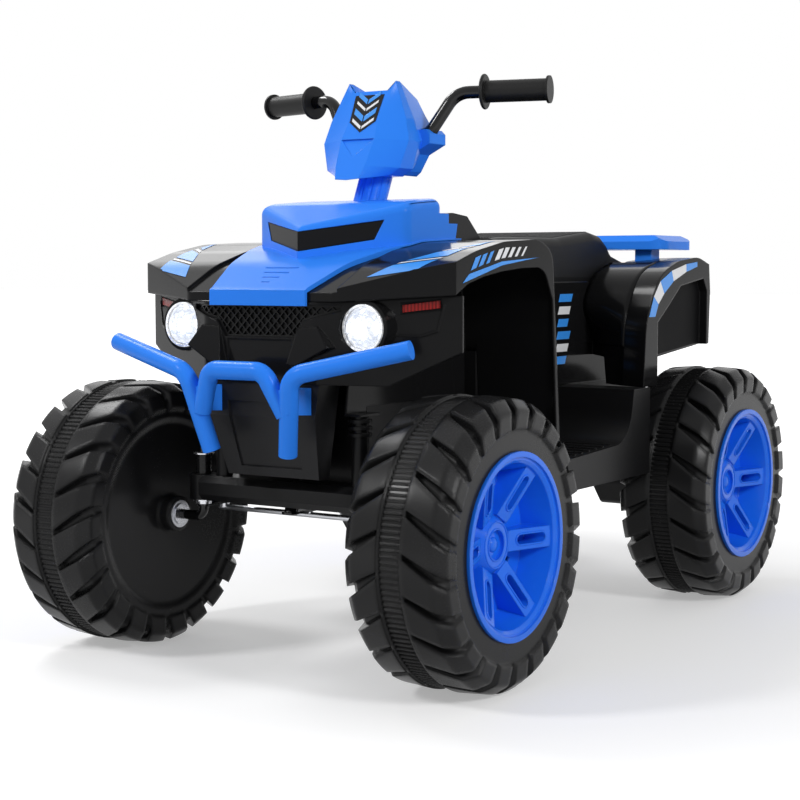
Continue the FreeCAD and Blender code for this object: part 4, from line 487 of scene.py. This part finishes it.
def rim_trim_tree():
    """Raised beads round a wheel's spoke slots, with two rings and a domed cap on its hub."""
    tree = Tree("rim_trim", {"Count": "Int", "Slot Width": "Float", "Slot Length": "Float",
                             "Slot Radius": "Float", "Face Place": "Float", "Face Slope": "Float",
                             "Bead Radius": "Float", "Hub Place": "Float", "Ring Radius": "Float",
                             "Cap Depth": "Float", "Cap Radius": "Float", "Side": "Float",
                             "Centre": "Vector", "Finish": "Material"})
    get = tree.inputs
    bead = tree.ring(bead_sides, get["Bead Radius"])

    def beaded(line):
        return tree.node("GeometryNodeCurveToMesh", {}, {"Curve": line, "Profile Curve": bead})

    def outward(place):
        return tree.moved(tree.vector(tree.maths("MULTIPLY", place, get["Side"]), 0.0, 0.0), get["Centre"])

    oblong = tree.node("GeometryNodeCurvePrimitiveQuadrilateral", {}, {
        "Width": get["Slot Width"], "Height": get["Slot Length"]})
    rounded = tree.node("GeometryNodeFilletCurve", {"mode": "POLY"}, {
        "Curve": oblong, "Count": slot_corner_steps,
        "Radius": tree.maths("MULTIPLY", get["Slot Width"], slot_round_share)})
    flat = tree.node("GeometryNodeInputPosition", {}, {})
    across, along_slot = (tree.node("ShaderNodeSeparateXYZ", {}, {0: flat}, axis) for axis in (0, 1))
    height = tree.maths("ADD", get["Face Place"], tree.maths("MULTIPLY", along_slot, get["Face Slope"]))
    on_spoke = tree.vector(tree.maths("MULTIPLY", height, get["Side"]), across,
                           tree.maths("ADD", along_slot, get["Slot Radius"]))
    slot = tree.node("GeometryNodeSetPosition", {}, {"Geometry": rounded, "Position": on_spoke})
    step = tree.maths("DIVIDE", 2 * math.pi, get["Count"])
    turn = tree.maths("MULTIPLY", step, tree.maths("ADD", tree.index(), slot_turn_share))
    points = tree.node("GeometryNodePoints", {}, {"Count": get["Count"], "Position": get["Centre"]})
    parts = [tree.node("GeometryNodeInstanceOnPoints", {}, {
        "Points": points, "Instance": beaded(slot), "Rotation": tree.vector(turn, 0.0, 0.0)})]
    for radius in (get["Ring Radius"], tree.maths("MULTIPLY", get["Cap Radius"], inner_ring_share)):
        parts.append(beaded(tree.node("GeometryNodeTransform", {}, {
            "Geometry": tree.ring(hub_ring_sides, radius), "Rotation": along_axle,
            "Translation": outward(get["Hub Place"])})))
    ball = tree.node("GeometryNodeMeshUVSphere", {}, {
        "Segments": cap_segments, "Rings": cap_rings, "Radius": get["Cap Radius"]})
    parts.append(tree.node("GeometryNodeTransform", {}, {
        "Geometry": ball, "Scale": cap_shape, "Rotation": along_axle,
        "Translation": outward(tree.maths("SUBTRACT", get["Hub Place"], get["Cap Depth"]))}))
    tree.finish(tree.node("GeometryNodeSetShadeSmooth", {}, {"Geometry": tree.join(parts)}))
    return tree


wheel_middle = 0.245
band_sizes = {"Count": 156, "Radius": 0.1605, "Bar Radius": 0.0021, "Bar Length": 0.0256,
              "Finish": tyre_plastic}
rim_sizes = {"Count": 6, "Slot Width": 0.0128, "Slot Length": 0.0428, "Slot Radius": 0.0635,
             "Face Place": 0.045, "Face Slope": 0.3387, "Bead Radius": 0.0013, "Hub Place": 0.036,
             "Ring Radius": 0.0256, "Cap Depth": 0.005, "Cap Radius": 0.0088, "Finish": rim_plastic}
band_ribs = band_rib_tree()
rim_trim = rim_trim_tree()
for wheel in wheels:
    low, high = (Vector(corner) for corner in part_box("tyre_" + wheel))
    axle = (low + high) / 2
    side = math.copysign(1.0, axle.x)
    centre = (side * wheel_middle, axle.y, axle.z)
    ribs = band_ribs.piece("band_ribs_" + wheel, {"Centre": centre, **band_sizes})
    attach(ribs, "wheel_" + wheel)
    trim = rim_trim.piece("rim_trim_" + wheel, {"Centre": centre, "Side": side, **rim_sizes})
    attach(trim, "wheel_" + wheel)

seat_rib_pitch = 0.0045
seat_rib_count = 39
seat_rib_steps = 70
seat_bead_radius = 0.0011
seat_front_margin, seat_back_margin = 0.012, 0.03
seat_ray_start = 0.05
seat_low, seat_high = (Vector(corner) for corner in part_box("seat"))
seat_edge = (seat_rib_count - 1) / 2 * seat_rib_pitch
seat_ribs = seat_rib_tree().piece("seat_ribs", {
    "Count": seat_rib_count, "Pitch": seat_rib_pitch, "Steps": seat_rib_steps,
    "Start": (-seat_edge, seat_low.y + seat_front_margin, seat_high.z + seat_ray_start),
    "Stop": (-seat_edge, seat_high.y - seat_back_margin, seat_high.z + seat_ray_start),
    "Bead Radius": seat_bead_radius, "Seat": nodes["seat"], "Finish": seat_grain})
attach(seat_ribs, "chassis")


# Printed films

film_lift = 0.0003
film_thick = 0.0002
film_step = 0.004
film_reach = 0.02
film_axis_share = 0.5


def surface_of(node):
    """The faces of a node, for rays and nearest points."""
    mesh = nodes[node].data
    return BVHTree.FromPolygons([vert.co for vert in mesh.vertices],
                                [face.vertices for face in mesh.polygons])


def bmesh_piece(name, mesh, finish):
    data = bpy.data.meshes.new(name)
    mesh.to_mesh(data)
    mesh.free()
    data.materials.append(finish)
    return add_object(name, data)


def film(name, node, corners, toward, finish, body, lift=film_lift):
    """A thin printed film: a flat outline cut into small faces and laid on a node."""
    toward = Vector(toward)
    mesh = bmesh.new()
    mesh.faces.new([mesh.verts.new(corner) for corner in corners])
    for axis in range(3):
        if abs(toward[axis]) > film_axis_share:
            continue
        low = min(corner[axis] for corner in corners)
        high = max(corner[axis] for corner in corners)
        normal = Vector([float(axis == other) for other in range(3)])
        for cut in range(1, math.ceil((high - low) / film_step)):
            bmesh.ops.bisect_plane(mesh, geom=mesh.verts[:] + mesh.edges[:] + mesh.faces[:],
                                   plane_co=normal * (low + cut * film_step), plane_no=normal)
    surface = surface_of(node)
    for vert in mesh.verts:
        hit = surface.ray_cast(vert.co - toward * film_reach, toward)[0]
        vert.co = (hit or surface.find_nearest(vert.co)[0]) - toward * lift
    bmesh.ops.recalc_face_normals(mesh, faces=mesh.faces)
    if sum((face.normal * face.calc_area() for face in mesh.faces), Vector()).dot(toward) > 0:
        bmesh.ops.reverse_faces(mesh, faces=mesh.faces)
    piece = bmesh_piece(name, mesh, finish)
    solid = piece.modifiers.new("thickness", "SOLIDIFY")
    solid.thickness = film_thick
    solid.offset = 1.0
    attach(piece, body)


def along(points, place):
    """Height of a line through (y, z) points at one y."""
    for (near, low), (far, high) in zip(points, points[1:]):
        if place <= far:
            break
    return low + (high - low) * (place - near) / (far - near)


side_faces = {"fender": 0.225, "rear": 0.228, "panel": 0.112}


def decal(name, node, outline, side, face, finish):
    """A film on one side of the vehicle: its outline lies on a level side, or on top as seen from above."""
    if face in side_faces:
        corners = [(side * side_faces[face], y, z) for y, z in outline]
        toward = (-side, 0.0, 0.0)
    else:
        corners = [(x * side, y, along(deck_edge, y) + film_step) for x, y in outline]
        toward = (0.0, 0.0, -1.0)
    film(name + "_" + hands[side], node, corners, toward, finish, "chassis")


def slanted_bar(start, width, lows, highs, slant):
    """A bar whose top is set along by slant; lows and highs are its heights at both ends."""
    return ((start, lows[0]), (start + width, lows[1]), (start + width + slant, highs[1]),
            (start + slant, highs[0]))


# Front fender: slanted bars and a long wedge between the arch and the deck's edge
arch_edge = ((-0.330, 0.441), (-0.305, 0.452), (-0.270, 0.460), (-0.229, 0.466), (-0.180, 0.470),
             (-0.125, 0.471))
deck_edge = ((-0.341, 0.474), (-0.284, 0.490), (-0.221, 0.501), (-0.125, 0.504))
band_start, band_run = -0.318, 0.180
band_border = 0.006


def on_band(share, up):
    """A place on the band, as shares of its length and of its height there."""
    y = band_start + share * band_run
    low = along(arch_edge, y) + band_border
    high = along(deck_edge, y) - band_border
    return y, low + up * (high - low)


wedge_shares = ((0.0, 0.02), (0.5, 0.05), (1.0, 0.3), (0.5, 0.26), (0.08, 0.24))
bar_slant_share = 0.06
# Finish, count, first start, step, first width, narrowing, and heights at the foot and at the top
bar_row_shares = (
    (film_blue, 3, 0.1, 0.095, 0.07, 0.012, (0.38, 0.4), (0.96, 0.98)),
    (film_white, 5, 0.4, 0.088, 0.062, 0.009, (0.42, 0.42), (0.95, 0.95)),
)
band_shares = [(film_blue, wedge_shares)]
for finish, count, first, step, width, narrowing, lows, highs in bar_row_shares:
    for i in range(count):
        band_shares.append((finish, slanted_bar(first + step * i, width - narrowing * i, lows, highs,
                                                bar_slant_share)))
band_shapes = [(finish, [on_band(*place) for place in shape]) for finish, shape in band_shares]

# Fender tops: two blocks and a point that follow the outer edge, with thin white lines between
top_shapes = (
    (film_blue, ((0.131, -0.371), (0.187, -0.354), (0.196, -0.322), (0.148, -0.342))),
    (film_white, ((0.1505, -0.3375), (0.1965, -0.3175), (0.1975, -0.3125), (0.1535, -0.3325))),
    (film_blue, ((0.156, -0.327), (0.199, -0.307), (0.204, -0.270), (0.176, -0.292))),
    (film_white, ((0.179, -0.286), (0.2045, -0.264), (0.2055, -0.256), (0.185, -0.275))),
    (film_blue, ((0.19, -0.267), (0.2065, -0.249), (0.208, -0.215))),
)

# Rear fender: a segmented sweep round the arch
sweep_outer = ((0.176, 0.404), (0.191, 0.432), (0.212, 0.4525), (0.250, 0.467), (0.300, 0.4765),
               (0.340, 0.480))
sweep_inner = ((0.196, 0.404), (0.206, 0.421), (0.225, 0.4355), (0.257, 0.4525), (0.301, 0.4655),
               (0.340, 0.473))
sweep_shapes = []
for i in range(len(sweep_outer) - 1):
    sweep_shapes.append((film_white if i % 2 else film_blue,
                         (sweep_outer[i], sweep_inner[i], sweep_inner[i + 1], sweep_outer[i + 1])))

# Rear fender recess: a dark, dull sheet laid into it as painted shade
recess_shade_outline = ((0.2085, 0.3490), (0.2085, 0.3955), (0.2505, 0.4215), (0.2840, 0.4438),
                 (0.3630, 0.4537), (0.3755, 0.4370), (0.3755, 0.3630))

# Side panel: stacked slanted blocks
block_count = 6
white_blocks = (1, 4)
block_low, block_pitch, block_tall = 0.338, 0.0172, 0.011
block_front, block_lean, block_slant = 0.122, 0.002, 0.005
block_widths = (0.03, 0.034, 0.038)
panel_shapes = []
for i in range(block_count):
    low = block_low + block_pitch * i
    high = low + block_tall
    width = block_widths[i % len(block_widths)]
    panel_shapes.append((film_white if i in white_blocks else film_blue,
                         slanted_bar(block_front + block_lean * i, width, (low, low), (high, high),
                                     block_slant)))

sticker_groups = (
    ("band", "front_body", "fender", band_shapes),
    ("top", "front_body", "top", top_shapes),
    ("sweep", "rear_body", "rear", sweep_shapes),
    # The recess sheet is painted shade, not a print.
    ("liner", "rear_body", "rear", [(liner_black, recess_shade_outline)]),
    ("panel", "rear_body", "panel", panel_shapes),
)
for side in hands:
    for group, node, face, shapes in sticker_groups:
        for i, (finish, outline) in enumerate(shapes):
            decal("film_%s_%d" % (group, i), node, outline, side, face, finish)


# Rear fender shoulders: a rounded filling between each fender's crease and the side panel

shoulder_low, shoulder_full, shoulder_high = 0.362, 0.432, 0.479
shoulder_inner, shoulder_crease = 0.1125, 0.1895
shoulder_columns, shoulder_rows = 10, 30
shoulder_share = 0.86
shoulder_lift, shoulder_seat = 0.0006, 0.001


def shoulder_level(z):
    """How far the shoulder has left the fender's swept face at one height, from 0 to shoulder_share."""
    rise = min(1.0, (z - shoulder_low) / (shoulder_full - shoulder_low))
    return shoulder_share * rise * rise * (3 - 2 * rise)


def grid_rim(columns, rows):
    """The places of a grid's border, once round, where each row holds columns + 1 places."""
    wide = columns + 1
    last = rows * wide
    return (list(range(wide)) + [row * wide + columns for row in range(1, rows + 1)]
            + list(range(last + columns - 1, last - 1, -1)) + [row * wide for row in range(rows - 1, 0, -1)])


def fender_shoulder(side):
    """A closed wedge whose front leaves the fender's swept face and levels out towards the top."""
    surface = surface_of("rear_body")

    def face_at(x, z):
        return surface.ray_cast(Vector((side * x, 0.0, z)), Vector((0.0, 1.0, 0.0)))[0].y

    mesh = bmesh.new()
    fronts, backs = [], []
    for row in range(shoulder_rows + 1):
        z = shoulder_low + (shoulder_high - shoulder_low) * row / shoulder_rows
        for column in range(shoulder_columns + 1):
            x = shoulder_crease + (shoulder_inner - shoulder_crease) * column / shoulder_columns
            swept = face_at(x, z)
            front = swept - shoulder_level(z) * (swept - face_at(shoulder_crease, z)) - shoulder_lift
            fronts.append(mesh.verts.new((side * x, front, z)))
            backs.append(mesh.verts.new((side * x, swept + shoulder_seat, z)))
    wide = shoulder_columns + 1
    for row in range(shoulder_rows):
        for column in range(shoulder_columns):
            corner = row * wide + column
            loop = (corner, corner + 1, corner + wide + 1, corner + wide)
            mesh.faces.new([fronts[i] for i in loop]).smooth = True
            mesh.faces.new([backs[i] for i in reversed(loop)])
    rim = grid_rim(shoulder_columns, shoulder_rows)
    for here, there in zip(rim, rim[1:] + rim[:1]):
        mesh.faces.new((fronts[here], backs[here], backs[there], fronts[there]))
    bmesh.ops.recalc_face_normals(mesh, faces=mesh.faces)
    piece = bmesh_piece("fender_shoulder_" + hands[side], mesh, gloss_black)
    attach(piece, "chassis")


for side in hands:
    fender_shoulder(side)


# Handlebar cover: a black shield with pointed bars

shield = ((0.0, 0.6385), (0.0195, 0.652), (0.0215, 0.6865), (-0.0215, 0.6865), (-0.0195, 0.652))
shield_lift, chevron_lift = 0.0003, 0.0007
cover_toward = (0.0, 0.8944, -0.4472)
cover_foot_y, cover_foot_z, cover_lean = -0.2205, 0.577, 0.5
chevron_middle, chevron_half, chevron_rise = 0.0008, 0.016, 0.0105
# Finish, lowest point and thickness of each chevron
chevrons = ((film_white, 0.6425, 0.004), (film_blue, 0.652, 0.0075), (film_white, 0.6655, 0.0035),
            (film_blue, 0.6745, 0.006))


def cover_film(name, outline, finish, lift):
    corners = [(x, cover_foot_y + cover_lean * (z - cover_foot_z), z) for x, z in outline]
    film(name, "bar_cover_front", corners, cover_toward, finish, "steering", lift)


cover_film("film_shield", shield, film_black, shield_lift)
for i, (finish, low, thick) in enumerate(chevrons):
    tip = low + chevron_rise
    for side in hands:
        near, far = side * chevron_middle, side * chevron_half
        cover_film("film_chevron_%d_%s" % (i, hands[side]),
                   ((near, low), (far, tip), (far, tip + thick), (near, low + thick)), finish, chevron_lift)


# Studio and camera

floor_size = 60.0
floor_near, floor_far = 0.6, 2.2
floor_near_glow = rgb(0.36, 0.36, 0.36)
soft_light = 0.34
camera_sensor, camera_lens = 36.0, 76.42
camera_place = (1.1961, -1.9566, 0.4658)
camera_toward = (-0.53943, 0.83865, -0.07533)


def add_floor():
    """A pale floor that keeps the shadow near the vehicle and fades to white further out."""
    mesh = bpy.data.meshes.new("floor")
    half = floor_size / 2
    corners = [(-half, -half, 0), (half, -half, 0), (half, half, 0), (-half, half, 0)]
    mesh.from_pydata(corners, [], [(0, 1, 2, 3)])
    finish = Finish("floor_white")
    distance = finish.node("ShaderNodeVectorMath", {"operation": "LENGTH"}, {0: finish.place()}, "Value")
    away = finish.node("ShaderNodeMapRange", {}, {
        "Value": distance, "From Min": floor_near, "From Max": floor_far})
    glow = finish.mix(away, floor_near_glow, white)
    mesh.materials.append(finish.surface({
        "Base Color": rgb(0.72, 0.72, 0.725),
        "Roughness": 0.6,
        "Specular IOR Level": 0.1,
        "Emission Color": finish.mix(finish.shows_studio(), no_light, glow),
        "Emission Strength": 1.0,
    }))
    add_object("floor", mesh)


def add_world():
    """Soft light from all round, behind which the studio looks white."""
    world = bpy.data.worlds.new("studio")
    world.use_nodes = True
    shading = Shading(world.node_tree)
    soft, shown = (shading.node("ShaderNodeBackground", {}, {"Color": white, "Strength": strength})
                   for strength in (soft_light, 1.0))
    shading.end("ShaderNodeOutputWorld", shading.node("ShaderNodeMixShader", {}, {
        0: shading.shows_studio(), 1: soft, 2: shown}))
    bpy.context.scene.world = world


def aimed(toward):
    return Vector(toward).to_track_quat("-Z", "Y").to_euler()


def add_lamp(name, place, target, size, power):
    data = bpy.data.lights.new(name, "AREA")
    data.shape = "RECTANGLE"
    data.size, data.size_y = size
    data.energy = power
    lamp = add_object(name, data)
    lamp.location = place
    lamp.visible_camera = False
    lamp.rotation_euler = aimed(Vector(target) - Vector(place))


def add_camera():
    data = bpy.data.cameras.new("camera")
    data.sensor_width = camera_sensor
    data.lens = camera_lens
    camera = add_object("camera", data)
    camera.location = camera_place
    camera.rotation_euler = aimed(camera_toward)
    bpy.context.scene.camera = camera


add_floor()
add_world()
add_lamp("key", place=(-1.5, -2.4, 2.3), target=(0, 0, 0.4), size=(0.45, 0.6), power=40.0)
add_lamp("side", place=(-1.55, 0.05, 2.25), target=(0, 0.1, 0.4), size=(0.8, 0.5), power=20.0)
add_lamp("back", place=(-1.6, 1.9, 1.6), target=(0, 0.1, 0.45), size=(1.6, 0.8), power=6.0)
add_lamp("fill", place=(2.7, -1.0, 1.7), target=(0, 0, 0.35), size=(0.5, 0.7), power=40.0)
add_camera()
bpy.context.scene.view_settings.view_transform = "Standard"
